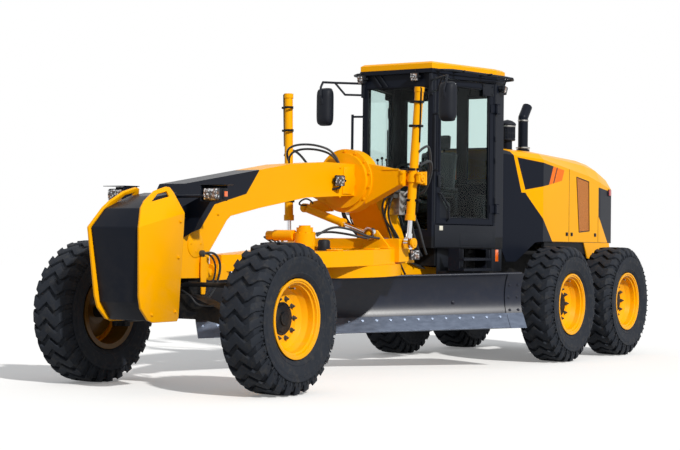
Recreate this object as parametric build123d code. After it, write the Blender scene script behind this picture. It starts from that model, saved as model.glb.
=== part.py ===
from build123d import *
import math
import os

# Motor grader, millimetres. While it is modelled, X is the machine's left, Y is the distance behind
# the front axle and Z is the height above the ground. write() moves every piece to the middle of the
# machine's length before it is saved.

# Whole machine
WHEELBASE = 6440.0
TANDEM_SPACING = 1620.0
TRACK = 2156.0
NOSE_Y = -993.0
TAIL_Y = 8027.0
MIDDLE_Y = (NOSE_Y + TAIL_Y) / 2.0

# Fits
PIN_GAP = 0.3
SEAT_GAP = 0.3
DOOR_GAP = 8.0

# Wheels
TYRE_R = 674.0
TYRE_W = 445.0
LUG_DEPTH = 28.0
LUG_COUNT = 28
RIM_R = 355.0
BEAD_R = 318.0
RIM_W = 356.0
HUB_R = 120.0
SPINDLE_R = 60.0
AXLE_Z = TYRE_R

# Front axle
KING_X = 800.0
LEAN_X = 690.0
LEAN_Z = 640.0
LEAN_BAR_Z = 955.0
LEAN_EYE_Y = -150.0
LEAN_EYE_T = 28.0
STEER_ARM = 225.0
TIE_PIN_R = 14.0
TIE_SLACK = 18.0

# Gooseneck and front frame
BEAM_HALF = 150.0
LEG_HALF = 200.0
PIVOT_Y = 4975.0
PIVOT_R = 45.0

# Blade group: drawbar, circle and blade, modelled level and then pitched about the drawbar's ball
BALL_Y = 385.0
BALL_Z = 1060.0
GROUP_PITCH = 2.0
CIRCLE_Y = 2500.0
CIRCLE_R = 700.0
CIRCLE_IN_R = 570.0
CIRCLE_Z0 = 940.0
CIRCLE_Z1 = 1060.0
DRAWBAR_Z0 = CIRCLE_Z1 + 0.5
DRAWBAR_Z1 = 1220.0
BLADE_YAW = 50.0
BLADE_LENGTH = 3660.0
BLADE_OFFSET = 405.0
BLADE_Z0 = 310.0
BLADE_H = 600.0
BLADE_SAG = 110.0
BLADE_T = 22.0
BLADE_N = -200.0
RAIL_Y = 391.5
TILT_N = -475.0
TILT_Z = 440.0
EDGE_T = 20.0
CURVE_H = BLADE_H - 60.0
CURVE_R = ((CURVE_H / 2) ** 2 + BLADE_SAG ** 2) / (2 * BLADE_SAG)

# Lift cylinders
TRUNNION = (784.0, 2775.0, 2030.0)
LIFT_TOP_Z = 2975.0
LIFT_LOW_Z = 1590.0
LIFT_PIN_X = 753.0
LIFT_PIN_Y = 2757.0
LIFT_PIN_LEVEL_Z = 1275.0
BARREL_R = 46.0
ROD_R = 24.0
EYE_SLACK = 18.0

# Centre-shift cylinder
SHIFT_TOP = (-443.0, 2600.0, 1722.0)
SHIFT_PIN = (369.0, 2600.0, 1450.0)

# Cab
CAB_FRONT_Y = 3740.0
CAB_FRONT_HALF = 455.0
CAB_SIDE_Y = 4750.0
CAB_REAR_Y = 4950.0
CAB_REAR_HALF = 700.0
CAB_WALL = 50.0
RAIL_R = 15.0
FLOOR_Z0 = 1309.0
FLOOR_Z1 = 1439.0
CAB_TOP_Z = 3255.0
ROOF_TOP_Z = 3360.0
ROOF_LOW_Z = 3280.0
GLASS_T = 8.0
SIDE_TURN = math.degrees(math.atan2(CAB_REAR_HALF - CAB_FRONT_HALF, CAB_SIDE_Y - CAB_FRONT_Y))

# Doors: S runs along the side wall from its front corner
DOOR_S = (62.0, 1012.0)
DOOR_Z = (1570.0, 3190.0)
HINGE_S = 1034.0
HINGE_OUT = 20.0
HINGE_Z = (1760.0, 2900.0)
FRAME_IN = 62.0

# Hood
HOOD_HALF = 750.0
HOOD_FRONT_Y = 5235.0
HOOD_FRONT_HALF = 520.0
HOOD_WIDE_Y = 5900.0
HOOD_BOTTOM_Z = 1400.0
HOOD_WALL = 14.0
SKIRT_Z = 1200.0
SKIRT_Y = 7060.0
SHROUD_Z = 1160.0
HOOD_SECTIONS = [  # y, half width, half width of the top, height of the side, height of the top
    (HOOD_FRONT_Y, HOOD_FRONT_HALF, 400, 2430, 2500),
    (HOOD_WIDE_Y, HOOD_HALF, 560, 2385, 2484),
    (7200, HOOD_HALF, 560, 2240, 2440),
    (7560, HOOD_HALF, 545, 2170, 2405),
    (TAIL_Y - 60, HOOD_HALF - 30, 500, 2095, 2290),
]

# Tow hitch
HITCH_Y = 7990.0
HITCH_R = 20.0
HITCH_T = 25.0
HITCH_Z0 = 930.0
HITCH_Z1 = 1030.0

DECK_Z = 1290.0


def slab(x0, x1, y0, y1, z0, z1):
    return Pos((x0 + x1) / 2, (y0 + y1) / 2, (z0 + z1) / 2) * Box(abs(x1 - x0), abs(y1 - y0), abs(z1 - z0))


def side_profile(points, x0, x1, corner=0.0):
    """A Y-Z outline pushed along X."""
    pts = [Vector(x0, y, z) for y, z in points]
    line = FilletPolyline(*pts, radius=corner, close=True) if corner else Polyline(*pts, close=True)
    return extrude(make_face(line), amount=x1 - x0, dir=(1, 0, 0))


def plan_profile(points, z0, z1, corner=0.0):
    """An X-Y outline pushed along Z."""
    pts = [Vector(x, y, z0) for x, y in points]
    line = FilletPolyline(*pts, radius=corner, close=True) if corner else Polyline(*pts, close=True)
    return extrude(make_face(line), amount=z1 - z0, dir=(0, 0, 1))


def front_profile(points, y0, y1, corner=0.0):
    """An X-Z outline pushed along Y."""
    pts = [Vector(x, y0, z) for x, z in points]
    line = FilletPolyline(*pts, radius=corner, close=True) if corner else Polyline(*pts, close=True)
    return extrude(make_face(line), amount=y1 - y0, dir=(0, 1, 0))


def bar(start, end, radius):
    """A round bar between two points."""
    a, b = Vector(*start), Vector(*end)
    plane = Plane(origin=a, z_dir=(b - a))
    return plane * Cylinder(radius, (b - a).length, align=(Align.CENTER, Align.CENTER, Align.MIN))


def turned(points, centre, axis="X"):
    """A solid of revolution: points are (radius, distance along the axis) about the given axis."""
    pts = [Vector(r, 0, a) for r, a in points]
    solid = revolve(make_face(Polyline(*pts, close=True)), axis=Axis.Z)
    turn = {"X": Rot(0, 90, 0), "Y": Rot(-90, 0, 0), "Z": Rot(0, 0, 0)}[axis]
    return Pos(*centre) * turn * solid


def mirrored(shape):
    return mirror(shape, about=Plane.YZ)


def both(shape):
    """The piece and its twin on the other side, in one node."""
    return Compound(children=[shape, mirrored(shape)])


def one(shape):
    """The single solid of a finished piece."""
    solids = shape.solids()
    return solids[0] if len(solids) == 1 else Compound(children=list(solids))


def pitched(shape):
    """The blade group's pitch, about the drawbar's ball."""
    return Pos(0, BALL_Y, BALL_Z) * Rot(GROUP_PITCH, 0, 0) * Pos(0, -BALL_Y, -BALL_Z) * shape


def pitched_point(x, y, z):
    a = math.radians(GROUP_PITCH)
    dy, dz = y - BALL_Y, z - BALL_Z
    return (x, BALL_Y + dy * math.cos(a) - dz * math.sin(a), BALL_Z + dy * math.sin(a) + dz * math.cos(a))


def write(name, shape):
    placed = Pos(0, -MIDDLE_Y, 0) * shape
    export_step(placed, "parts/" + name + ".step")


# Wheels: the tyre and its rim, axle along X, outer side towards +X

def tyre():
    """Tyre about the origin: casing with the lugs fused on, the same way round on both sides."""
    half = TYRE_W / 2
    casing_r = TYRE_R - LUG_DEPTH
    bead = [(BEAD_R + 2, -RIM_W / 2), (RIM_R + 3, -RIM_W / 2), (RIM_R + 60, -half), (TYRE_R - 150, -half)]
    low = [(casing_r - 30, -half + 8), (casing_r, -half + 60)]
    high = [(TYRE_R - 52, -half + 4), (TYRE_R, -half + 62)]

    def section(shoulder):
        left = bead + shoulder
        return left + [(r, -x) for r, x in reversed(left)]

    casing = turned(section(low), (0, 0, 0))
    envelope = turned(section(high), (0, 0, 0))
    pitch = 2 * math.pi * TYRE_R / LUG_COUNT
    wide = 0.3 * pitch
    centre_line = [(-half, -0.15), (-0.46 * half, 0.62), (0.0, 0.03), (0.46 * half, 0.62), (half, -0.15)]
    edge = [(x, -lead * pitch - wide) for x, lead in centre_line]
    edge += [(x, -lead * pitch + wide) for x, lead in reversed(centre_line)]
    lug = plan_profile(edge, casing_r - 40, TYRE_R + 30) & envelope
    lugs = [Rot(360 / LUG_COUNT * i, 0, 0) * lug for i in range(LUG_COUNT)]
    return one(casing + lugs)


def rim(side):
    """Rim about the origin, dished in from the outer flange, with the lock ring's step inside it."""
    half = RIM_W / 2
    # radius, distance along the axle
    outline = [(SPINDLE_R + 0.1, -30), (SPINDLE_R + 0.1, 30), (HUB_R, 30), (HUB_R, 20), (215, 20), (262, 52),
               (292, 100), (297, half - 24), (313, half - 20), (317, half + 4), (333, half + 6), (335, half + 14),
               (RIM_R, half + 14), (RIM_R, half + 2), (BEAD_R + 1.7, half), (BEAD_R + 1.7, -half), (RIM_R, -half - 2),
               (RIM_R, -half - 14), (306, -half - 10), (303, 60), (274, 22), (222, -10), (HUB_R, -30)]
    solid = turned(outline, (0, 0, 0))
    return one(solid if side > 0 else mirrored(solid))


WHEELS = {  # name: (side, y)
    "front_left": (1, 0.0),
    "front_right": (-1, 0.0),
    "mid_left": (1, WHEELBASE - TANDEM_SPACING / 2),
    "mid_right": (-1, WHEELBASE - TANDEM_SPACING / 2),
    "rear_left": (1, WHEELBASE + TANDEM_SPACING / 2),
    "rear_right": (-1, WHEELBASE + TANDEM_SPACING / 2),
}


def wheels():
    one_tyre = tyre()
    rims = {side: rim(side) for side in (1, -1)}
    for name, (side, y) in WHEELS.items():
        centre = Pos(side * TRACK / 2, y, AXLE_Z)
        write("tyre_" + name, centre * one_tyre)
        write("rim_" + name, centre * rims[side])


# Front axle, lean brackets, knuckles, lean bar and tie rod

def front_axle():
    inner = LEAN_X - 70
    beam = front_profile([(-inner, 585), (-inner, 700), (-330, 790), (-140, 860), (140, 860), (330, 790),
                          (inner, 700), (inner, 585), (300, 640), (-300, 640)], -105, 105)
    body = beam + slab(-110, 110, -75, 150, 800, 1010 - SEAT_GAP)
    for side in (1, -1):
        for y0, y1 in ((-105, -62), (62, 105)):
            ear = slab(side * (inner - 2), side * LEAN_X, y0, y1, LEAN_Z - 55, LEAN_Z + 60)
            ear += Pos(side * LEAN_X, (y0 + y1) / 2, LEAN_Z) * Rot(90, 0, 0) * Cylinder(52, y1 - y0)
            body += ear
        body += bar((side * LEAN_X, -110, LEAN_Z), (side * LEAN_X, 110, LEAN_Z), 26)
    return one(body)


def lean_bracket(side):
    """Upright between the axle's ears, with the kingpin arms outside and the lean bar's eye on top."""
    body = Pos(LEAN_X, 0, LEAN_Z) * Rot(90, 0, 0) * Cylinder(48, 112)
    body += slab(LEAN_X - 38, LEAN_X + 38, -34, 34, LEAN_Z, LEAN_BAR_Z - 50)
    body += slab(LEAN_X - 38, LEAN_X + 38, LEAN_EYE_Y, 34, LEAN_BAR_Z - 105, LEAN_BAR_Z - 50)
    body += slab(LEAN_X - 38, LEAN_X + 38, LEAN_EYE_Y, LEAN_EYE_Y + LEAN_EYE_T, LEAN_BAR_Z - 105, LEAN_BAR_Z)
    body += Pos(LEAN_X, LEAN_EYE_Y + LEAN_EYE_T / 2, LEAN_BAR_Z) * Rot(90, 0, 0) * Cylinder(38, LEAN_EYE_T)
    for z in (LEAN_Z - 72, LEAN_Z + 128):
        body += slab(LEAN_X - 20, KING_X, -34, 34, z - 26, z + 26)
        body += Pos(KING_X, 0, z) * Cylinder(46, 52)
    body += slab(LEAN_X - 20, LEAN_X + 20, -34, 34, LEAN_Z - 98, LEAN_Z)
    body += Pos(KING_X, 0, LEAN_Z + 28) * Cylinder(24, 250)
    body -= Pos(LEAN_X, 0, LEAN_Z) * Rot(90, 0, 0) * Cylinder(26 + PIN_GAP, 300)
    body -= Pos(LEAN_X, LEAN_EYE_Y, LEAN_BAR_Z) * Rot(90, 0, 0) * Cylinder(20 + PIN_GAP, 80)
    return one(body if side > 0 else mirrored(body))


def knuckle(side):
    """Kingpin barrel, spindle and steering arm with its pin."""
    low, high = LEAN_Z - 45, LEAN_Z + 101
    body = Pos(KING_X, 0, (low + high) / 2) * Cylinder(46, high - low)
    body += bar((KING_X, 0, AXLE_Z), (TRACK / 2 + 60, 0, AXLE_Z), SPINDLE_R)
    body += bar((KING_X + 40, 0, AXLE_Z), (TRACK / 2 - 165, 0, AXLE_Z), 64)
    body += slab(KING_X - 18, KING_X + 18, 0, STEER_ARM + 24, LEAN_Z + 72, LEAN_Z + 98)
    body += Pos(KING_X, STEER_ARM, LEAN_Z + 98) * Cylinder(24, 10)
    body += bar((KING_X, STEER_ARM, LEAN_Z - 38), (KING_X, STEER_ARM, LEAN_Z + 98), TIE_PIN_R)
    body -= Pos(KING_X, 0, LEAN_Z + 28) * Cylinder(24 + PIN_GAP, 400)
    return one(body if side > 0 else mirrored(body))


def lean_bar():
    z = LEAN_BAR_Z
    y = LEAN_EYE_Y + LEAN_EYE_T + PIN_GAP + 14
    body = bar((-LEAN_X + 90, y, z), (LEAN_X - 90, y, z), 22)
    for side in (1, -1):
        body += Pos(side * LEAN_X, y, z) * Rot(90, 0, 0) * Cylinder(36, 28)
        body += slab(side * (LEAN_X - 110), side * LEAN_X, y - 14, y + 14, z - 24, z + 24)
        body += bar((side * LEAN_X, y, z), (side * LEAN_X, LEAN_EYE_Y - 6, z), 20)
    return one(body)


def tie_rod_end():
    """Cross of the tie rod's left joint: a sleeve on the steering arm's pin, with two stubs for the fork."""
    x, y, z = KING_X, STEER_ARM, LEAN_Z
    body = Pos(x, y, z) * Cylinder(TIE_PIN_R + 12, 50)
    body += bar((x, y - 46, z), (x, y + 46, z), 12)
    body -= Pos(x, y, z) * Cylinder(TIE_PIN_R + PIN_GAP, 200)
    return one(body)


def tie_rod():
    """Its fork hangs on the left cross; its right eye is open round the other arm's pin."""
    x, y, z = KING_X, STEER_ARM, LEAN_Z
    body = slab(x - 78, x - 52, y - 46, y + 46, z - 22, z + 22)
    for y0 in (y - 46, y + 28):
        body += Pos(x, y0 + 9, z) * Rot(90, 0, 0) * Cylinder(26, 18)
        body += slab(x - 60, x, y0, y0 + 18, z - 20, z + 20)
    body -= Pos(x, y, z) * Rot(90, 0, 0) * Cylinder(12 + PIN_GAP, 200)
    body += bar((x - 60, y, z), (-x + 30, y, z), 17)
    body += Pos(-x, y, z) * Cylinder(TIE_PIN_R + TIE_SLACK + 10, 34)
    body -= Pos(-x, y, z) * Cylinder(TIE_PIN_R + TIE_SLACK, 100)
    return one(body)


# Front frame: gooseneck, rear legs and the centre frame under the cab

def front_frame():
    top = [(-190, 1865), (1472, 2124), (2091, 2175), (2700, 2180), (3020, 2085), (3300, 1880)]
    leg_rear = [(3380, 1760), (3770, 1090)]
    leg_front = [(3560, 1000), (3150, 1600), (2990, 1790), (2619, 1849)]
    under = [(1747, 1800), (966, 1677), (496, 1588), (434, 1543), (274, 1361), (180, 1258), (165, 1010)]
    nose = [(-350, 1010), (-350, 1640)]
    arch = side_profile(top + leg_rear + leg_front + under + nose, -BEAM_HALF, BEAM_HALF)
    leg = [(2990, 1790), (3300, 1880), (3380, 1760), (3770, 1090), (3800, 1120), (PIVOT_Y - 220, 1060),
           (PIVOT_Y - 220, 760), (3750, 760), (3560, 1000), (3150, 1600)]
    legs = side_profile(leg, -LEG_HALF, LEG_HALF)
    body = arch + legs
    # pivot lugs of the centre joint, above and below the rear frame's tongue
    for z0, z1 in ((760, 835), (985, 1060)):
        lug = slab(-150, 150, PIVOT_Y - 230, PIVOT_Y, z0, z1)
        lug += Pos(0, PIVOT_Y, (z0 + z1) / 2) * Cylinder(150, z1 - z0)
        body += lug
    body += Pos(0, PIVOT_Y, 910) * Cylinder(PIVOT_R, 320)
    # seat of the drawbar's ball
    body += side_profile([(165, 1010), (165, 1110), (250, 1110), (330, 1090), (330, 1030), (250, 1010)], -60, 60)
    body += Pos(0, BALL_Y, BALL_Z) * Sphere(40)
    body += bar((0, 300, BALL_Z), (0, BALL_Y, BALL_Z), 22)
    return one(body)


def front_guards():
    outline = [(NOSE_Y, 1459), (-912, 809), (-780, 629), (-420, 629), (-352, 700), (-352, 1619), (-560, 1826),
               (-640, 1826), (-770, 1776)]
    plate = side_profile(outline, 200, 300)
    lower = Plane(origin=(300, 0, 1459), z_dir=(math.cos(math.radians(3.5)), 0, -math.sin(math.radians(3.5))))
    plate = split(plate, bisect_by=lower, keep=Keep.BOTTOM)
    plate -= side_profile([(-822, 1690), (-769, 1744), (-636, 1776), (-600, 1742)], 150, 350)
    upper = Plane(origin=(300, -993, 1459), x_dir=(0, 641, 160), z_dir=Vector(0.9, -0.11, 0.44))
    plate = split(plate, bisect_by=upper, keep=Keep.BOTTOM)
    return both(one(plate))


def front_panel():
    outline = [(NOSE_Y + 18, 1459), (-912 + 18, 809), (-780 + 12, 645), (-350.3, 645), (-350.3, 1830), (-590, 1750),
               (-873, 1625)]
    return one(side_profile(outline, -200 + SEAT_GAP, 200 - SEAT_GAP))


def headlamps():
    lamp = slab(480, 640, -330, -240, 1705, 1815)
    lamp += slab(450, 700, -345, -225, 1835, 1850)
    lamp += slab(470, 484, -345, -225, 1700, 1850)
    lamp += slab(0, 475, -350, -318, 1728, 1762)
    return one(lamp + mirrored(lamp))


def saddle():
    cy = TRUNNION[1] - 15
    cz = 2009.0
    ring = Pos(0, cy, cz) * Rot(90, 0, 0) * Cylinder(335, 170)
    ring += Pos(0, cy, cz) * Rot(90, 0, 0) * Cylinder(290, 240)
    tx, ty, tz = TRUNNION
    for side in (1, -1):
        arm = front_profile([(250, 1760), (640, 1950), (tx - 72, 1960), (tx - 72, 2100), (640, 2115), (250, 2190)],
                            ty - 80, ty + 70)
        fork = slab(tx - 110, tx - 72, ty - 90, ty + 90, tz - 80, tz + 80)
        fork += slab(tx - 110, tx + 110, ty + 72, ty + 96, tz - 70, tz + 70)
        fork += slab(tx + 72, tx + 104, ty - 60, ty + 96, tz - 60, tz + 60)
        arm += fork
        arm -= bar((tx - 200, ty, tz), (tx + 200, ty, tz), 28 + PIN_GAP)
        ring += arm if side > 0 else mirrored(arm)
    # bracket of the centre-shift cylinder
    ring += front_profile([(-250, 1830), (-480, 1790), (-510, 1722), (-470, 1675), (-220, 1690)], ty - 30, ty + 40)
    ring += bar((SHIFT_TOP[0], SHIFT_TOP[1] - 45, SHIFT_TOP[2]), (SHIFT_TOP[0], ty, SHIFT_TOP[2]), 25)
    top = [(2000, 2166), (2091, 2175), (2700, 2180), (3020, 2085)]
    beam = side_profile(top + [(2990, 1790), (2619, 1849), (2000, 1814)], -BEAM_HALF, BEAM_HALF)
    ring -= Pos(0, 0, 0) * offset(beam, amount=SEAT_GAP, kind=Kind.INTERSECTION)
    return one(ring)


# Lift cylinders, left one modelled, right one mirrored

def lift_axis():
    pin = Vector(*pitched_point(LIFT_PIN_X, LIFT_PIN_Y, LIFT_PIN_LEVEL_Z))
    trunnion = Vector(*TRUNNION)
    return trunnion, pin, (pin - trunnion).normalized()


def lift_barrel(side):
    trunnion, pin, along = lift_axis()
    top = trunnion - along * (LIFT_TOP_Z - TRUNNION[2])
    low = trunnion + along * (TRUNNION[2] - LIFT_LOW_Z)
    body = bar(top, low, BARREL_R)
    body += bar(low - along * 60, low, BARREL_R + 9)
    body += bar(top, top + along * 50, BARREL_R + 6)
    body += bar(trunnion - along * 45, trunnion + along * 45, BARREL_R + 14)
    body += bar(trunnion - Vector(104, 0, 0), trunnion + Vector(104, 0, 0), 28)
    body -= bar(top + along * 60, low + along * 10, ROD_R + PIN_GAP)
    return one(body if side > 0 else mirrored(body))


def lift_rod(side):
    trunnion, pin, along = lift_axis()
    start = trunnion + along * (TRUNNION[2] - LIFT_LOW_Z - 640)
    body = bar(start, pin - along * 45, ROD_R)
    eye = Pos(*pin) * Rot(0, 90, 0) * Cylinder(66, 50)
    body += eye + bar(pin - along * 100, pin - along * 40, 34)
    body -= Pos(*pin) * Rot(0, 90, 0) * Cylinder(25 + EYE_SLACK, 90)
    return one(body if side > 0 else mirrored(body))


def shift_ends():
    a, b = Vector(*SHIFT_TOP), Vector(*SHIFT_PIN)
    return a, b, (b - a).normalized()


def shift_barrel():
    a, b, along = shift_ends()
    body = bar(a + along * 40, a + along * 520, 42)
    body += Pos(*a) * Rot(90, 0, 0) * Cylinder(48, 60)
    body += bar(a + along * 480, a + along * 525, 50)
    body -= Pos(*a) * Rot(90, 0, 0) * Cylinder(25 + PIN_GAP, 200)
    body -= bar(a + along * 80, a + along * 540, 22 + PIN_GAP)
    return one(body)


def shift_rod():
    a, b, along = shift_ends()
    body = bar(a + along * 110, b - along * 45, 22)
    body += Pos(*b) * Rot(90, 0, 0) * Cylinder(68, 50)
    body -= Pos(*b) * Rot(90, 0, 0) * Cylinder(22 + 30, 90)
    return one(body)


# Drawbar and circle

def drawbar():
    z0, z1 = DRAWBAR_Z0, DRAWBAR_Z1
    outer = [(-70, 470), (70, 470), (560, 1830), (640, 2250), (640, 3060), (-640, 3060), (-640, 2250), (-560, 1830)]
    body = plan_profile(outer, z0, z1)
    body -= plan_profile([(-30, 820), (30, 820), (360, 1690), (-360, 1690)], z0 - 10, z1 + 10)
    window = [(-430, 1900), (430, 1900), (470, 2200), (470, 2640), (-470, 2640), (-470, 2200)]
    body -= plan_profile(window, z0 - 10, z1 + 10)
    # socket over the ball
    head = slab(-85, 85, 395, 560, BALL_Z - 75, BALL_Z + 75)
    head += Pos(0, BALL_Y, BALL_Z) * Sphere(78)
    head += slab(-70, 70, 470, 620, BALL_Z - 70, z1)
    body += head
    body -= Pos(0, BALL_Y, BALL_Z) * Sphere(40 + PIN_GAP)
    body -= slab(-100, 100, BALL_Y - 120, BALL_Y - 12, BALL_Z - 100, BALL_Z + 100)
    # cross beam with the lift pins
    body += slab(-695, 695, LIFT_PIN_Y - 95, LIFT_PIN_Y + 95, z0 + 20, LIFT_PIN_LEVEL_Z + 45)
    body += bar((-830, LIFT_PIN_Y, LIFT_PIN_LEVEL_Z), (830, LIFT_PIN_Y, LIFT_PIN_LEVEL_Z), 25)
    body = pitched(body)
    # ear of the centre-shift cylinder
    px, py, pz = SHIFT_PIN
    plate = [(px - 110, 1300), (px + 230, 1300), (px + 60, pz + 40), (px - 40, pz + 45), (px - 60, pz)]
    ear = front_profile(plate, py + 32, py + 62)
    ear += bar((px, py - 30, pz), (px, py + 60, pz), 22)
    body += ear
    return one(body)


def circle_drive():
    y = 1960
    body = Pos(0, y, DRAWBAR_Z1 + 90) * Cylinder(110, 170)
    body += Pos(0, y, DRAWBAR_Z1 + 200) * Cylinder(85, 60)
    body += slab(-200, 200, y - 250, y - 40, DRAWBAR_Z1 + SEAT_GAP, DRAWBAR_Z1 + 40)
    body += bar((-90, y - 60, DRAWBAR_Z1 + 150), (-330, y - 60, DRAWBAR_Z1 + 150), 55)
    return one(pitched(body))


def circle():
    ring = Pos(0, CIRCLE_Y, (CIRCLE_Z0 + CIRCLE_Z1) / 2) * (Cylinder(CIRCLE_R, CIRCLE_Z1 - CIRCLE_Z0)
                                                        - Cylinder(CIRCLE_IN_R, CIRCLE_Z1))
    body = ring
    for u in (-430, 430):
        body += blade_section([(-570, 1000), (-476, 1000), (-476, TILT_Z), (-512, TILT_Z), (-570, 600)], u - 30, u + 30)
        body += blade_bar(u - 30, u + 30, TILT_N, TILT_Z, 44)
    pin = blade_bar(-480, 480, TILT_N, TILT_Z, 24)
    body += pin
    return one(pitched(body))


def blade_frame(shape):
    """Places a piece modelled with the blade along X and its front towards -Y about the circle's centre."""
    return Pos(0, CIRCLE_Y, 0) * Rot(0, 0, BLADE_YAW) * shape


def blade_section(points, u0, u1, corner=0.0):
    """An outline of (distance in front of the circle's centre, height) pushed along the blade."""
    return blade_frame(side_profile([(-n, z) for n, z in points], u0, u1, corner))


def blade_bar(u0, u1, n, z, radius):
    return blade_frame(bar((u0, -n, z), (u1, -n, z), radius))


def blade_carrier():
    body = None
    hook = [(-430, 400), (-520, 400), (-520, 480), (-425, 500), (-425, 860), (-392, 860), (-392, 300), (-425, 300)]
    for u in (-430, 430):
        one_hook = blade_section(hook, u + 35, u + 110)
        body = one_hook if body is None else body + one_hook
    body += blade_section([(-392, 395), (-425, 395), (-425, 470), (-392, 470)], -395, 540)
    body += blade_section([(-392, 760), (-425, 760), (-425, 850), (-392, 850)], -395, 540)
    body -= blade_bar(-700, 700, TILT_N, TILT_Z, 24 + PIN_GAP)
    return one(pitched(body))


def curve_depth(z):
    """How far the curved face lies behind its own chord at a height."""
    rise = z - (BLADE_Z0 + 60 + CURVE_H / 2)
    return math.sqrt(CURVE_R ** 2 - rise ** 2) - (CURVE_R - BLADE_SAG)


def moldboard():
    h, s, t = CURVE_H, BLADE_SAG, BLADE_T
    z0 = BLADE_Z0 + 60
    radius = CURVE_R
    u0 = BLADE_OFFSET - BLADE_LENGTH / 2 + 25
    u1 = BLADE_OFFSET + BLADE_LENGTH / 2 - 25
    mid_z = z0 + h / 2
    # centre of the curve is in front of the blade
    cn = BLADE_N - s + radius
    outer = Pos(0, -cn, mid_z) * Rot(0, 90, 0) * Cylinder(radius + t, u1 - u0)
    outer -= Pos(0, -cn, mid_z) * Rot(0, 90, 0) * Cylinder(radius, u1 - u0 + 10)
    strip = slab(-BLADE_LENGTH, BLADE_LENGTH, -BLADE_N - 40, -BLADE_N + 400, z0, z0 + h)
    body = Pos((u0 + u1) / 2, 0, 0) * outer & strip
    for z in (430, 800):
        back = math.sqrt((radius + t / 2) ** 2 - (z - mid_z) ** 2) - cn
        body += slab(u0 + 60, u1 - 60, back, RAIL_Y, z - 22, z + 22)
    body = blade_frame(body)
    return one(pitched(body))


def cutting_edge():
    u0 = BLADE_OFFSET - BLADE_LENGTH / 2
    u1 = BLADE_OFFSET + BLADE_LENGTH / 2
    low, high = BLADE_Z0 + 60, BLADE_Z0 + 150
    n_low = BLADE_N
    n_high = BLADE_N - curve_depth(high)
    slope = (n_high - n_low) / (high - low)
    n_tip = n_low - slope * (low - BLADE_Z0)
    run = math.hypot(1, slope)
    dn, dz = EDGE_T / run, -slope * EDGE_T / run
    gap = SEAT_GAP
    back, front = [(n_tip + gap, BLADE_Z0), (n_high + gap, high)], [(n_high + dn, high + dz), (n_tip + dn, BLADE_Z0 + dz)]
    return one(pitched(blade_section(back + front, u0, u1)))


# Cab

def cab_outline(inset):
    f, h, r = CAB_FRONT_Y + inset, CAB_FRONT_HALF - inset * 0.9, CAB_REAR_Y - inset
    w = CAB_REAR_HALF - inset
    return [(-h, f), (h, f), (w, CAB_SIDE_Y), (w, r), (-w, r), (-w, CAB_SIDE_Y)]


def cab_shell(inset0, inset1, z0, z1):
    return plan_profile(cab_outline(inset0), z0, z1) - plan_profile(cab_outline(inset1), z0 - 10, z1 + 10)


def side_region(s0, s1, z0, z1):
    """A block standing on the left side wall, s along the wall from its front corner."""
    block = slab(-90, 90, s0, s1, z0, z1)
    return Pos(CAB_FRONT_HALF, CAB_FRONT_Y, 0) * Rot(0, 0, -SIDE_TURN) * block


def on_side(shape):
    """Puts a shape drawn at x = out of the left wall, y = s along it onto the wall."""
    return Pos(CAB_FRONT_HALF, CAB_FRONT_Y, 0) * Rot(0, 0, -SIDE_TURN) * shape


def door_pins():
    """Brackets and pins of the left door on the cab frame."""
    pins = None
    for z in HINGE_Z:
        block = slab(-6, HINGE_OUT + 16, HINGE_S - 14, HINGE_S + 44, z + 45, z + 58)
        block += slab(-6, HINGE_OUT + 16, HINGE_S - 14, HINGE_S + 44, z - 58, z - 45)
        block += Pos(HINGE_OUT, HINGE_S, z) * Cylinder(9, 116)
        pins = block if pins is None else pins + block
    return on_side(pins)


def door_eyes():
    """Eyes and straps of the left door."""
    eyes = None
    for z in HINGE_Z:
        eye = Pos(HINGE_OUT, HINGE_S, z) * Cylinder(16, 88)
        eye += slab(1, 11, HINGE_S - 90, HINGE_S, z - 44, z + 44)
        eye += slab(-4, 6, HINGE_S - 90, HINGE_S - 40, z - 44, z + 44)
        eye -= Pos(HINGE_OUT, HINGE_S, z) * Cylinder(9 + PIN_GAP, 120)
        eyes = eye if eyes is None else eyes + eye
    return on_side(eyes)


def windows():
    """The fixed windows' openings: name, block."""
    return [
        slab(-CAB_FRONT_HALF + 55, CAB_FRONT_HALF - 55, CAB_FRONT_Y - 60, CAB_FRONT_Y + 110, 1500, 3090),
        slab(-CAB_REAR_HALF + 110, CAB_REAR_HALF - 110, CAB_REAR_Y - 110, CAB_REAR_Y + 60, 2050, 3060),
    ]


def cab_frame():
    body = cab_shell(0, CAB_WALL, FLOOR_Z1, CAB_TOP_Z)
    for window in windows():
        body -= window
    door = side_region(DOOR_S[0], DOOR_S[1], DOOR_Z[0], DOOR_Z[1])
    body -= door
    body -= mirrored(door)
    pins = door_pins()
    body += pins
    body += mirrored(pins)
    # brim and lining under the roof's cap
    body += plan_profile(roof_outline(4), CAB_TOP_Z - 20, ROOF_LOW_Z)
    # grab rail at the front corners
    for side in (1, -1):
        x, y = side * (CAB_FRONT_HALF + 110), CAB_FRONT_Y - 40
        for z in (2160, 2780):
            body += bar((side * (CAB_FRONT_HALF - 14), CAB_FRONT_Y + 18, z), (x, y, z), RAIL_R - 3)
        body += bar((x, y, 2135), (x, y, 2805), RAIL_R)
    return one(body)


def cab_glass():
    pane = cab_shell(20, 20 + GLASS_T, FLOOR_Z1, CAB_TOP_Z)
    solids = []
    for window in windows():
        solids.append(one(pane & offset(window, amount=-SEAT_GAP, kind=Kind.INTERSECTION)))
    return Compound(children=solids)


def door_shell(inset0, inset1, g):
    region = side_region(DOOR_S[0] + g, DOOR_S[1] - g, DOOR_Z[0] + g, DOOR_Z[1] - g)
    return cab_shell(inset0, inset1, FLOOR_Z1, CAB_TOP_Z) & region


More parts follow.
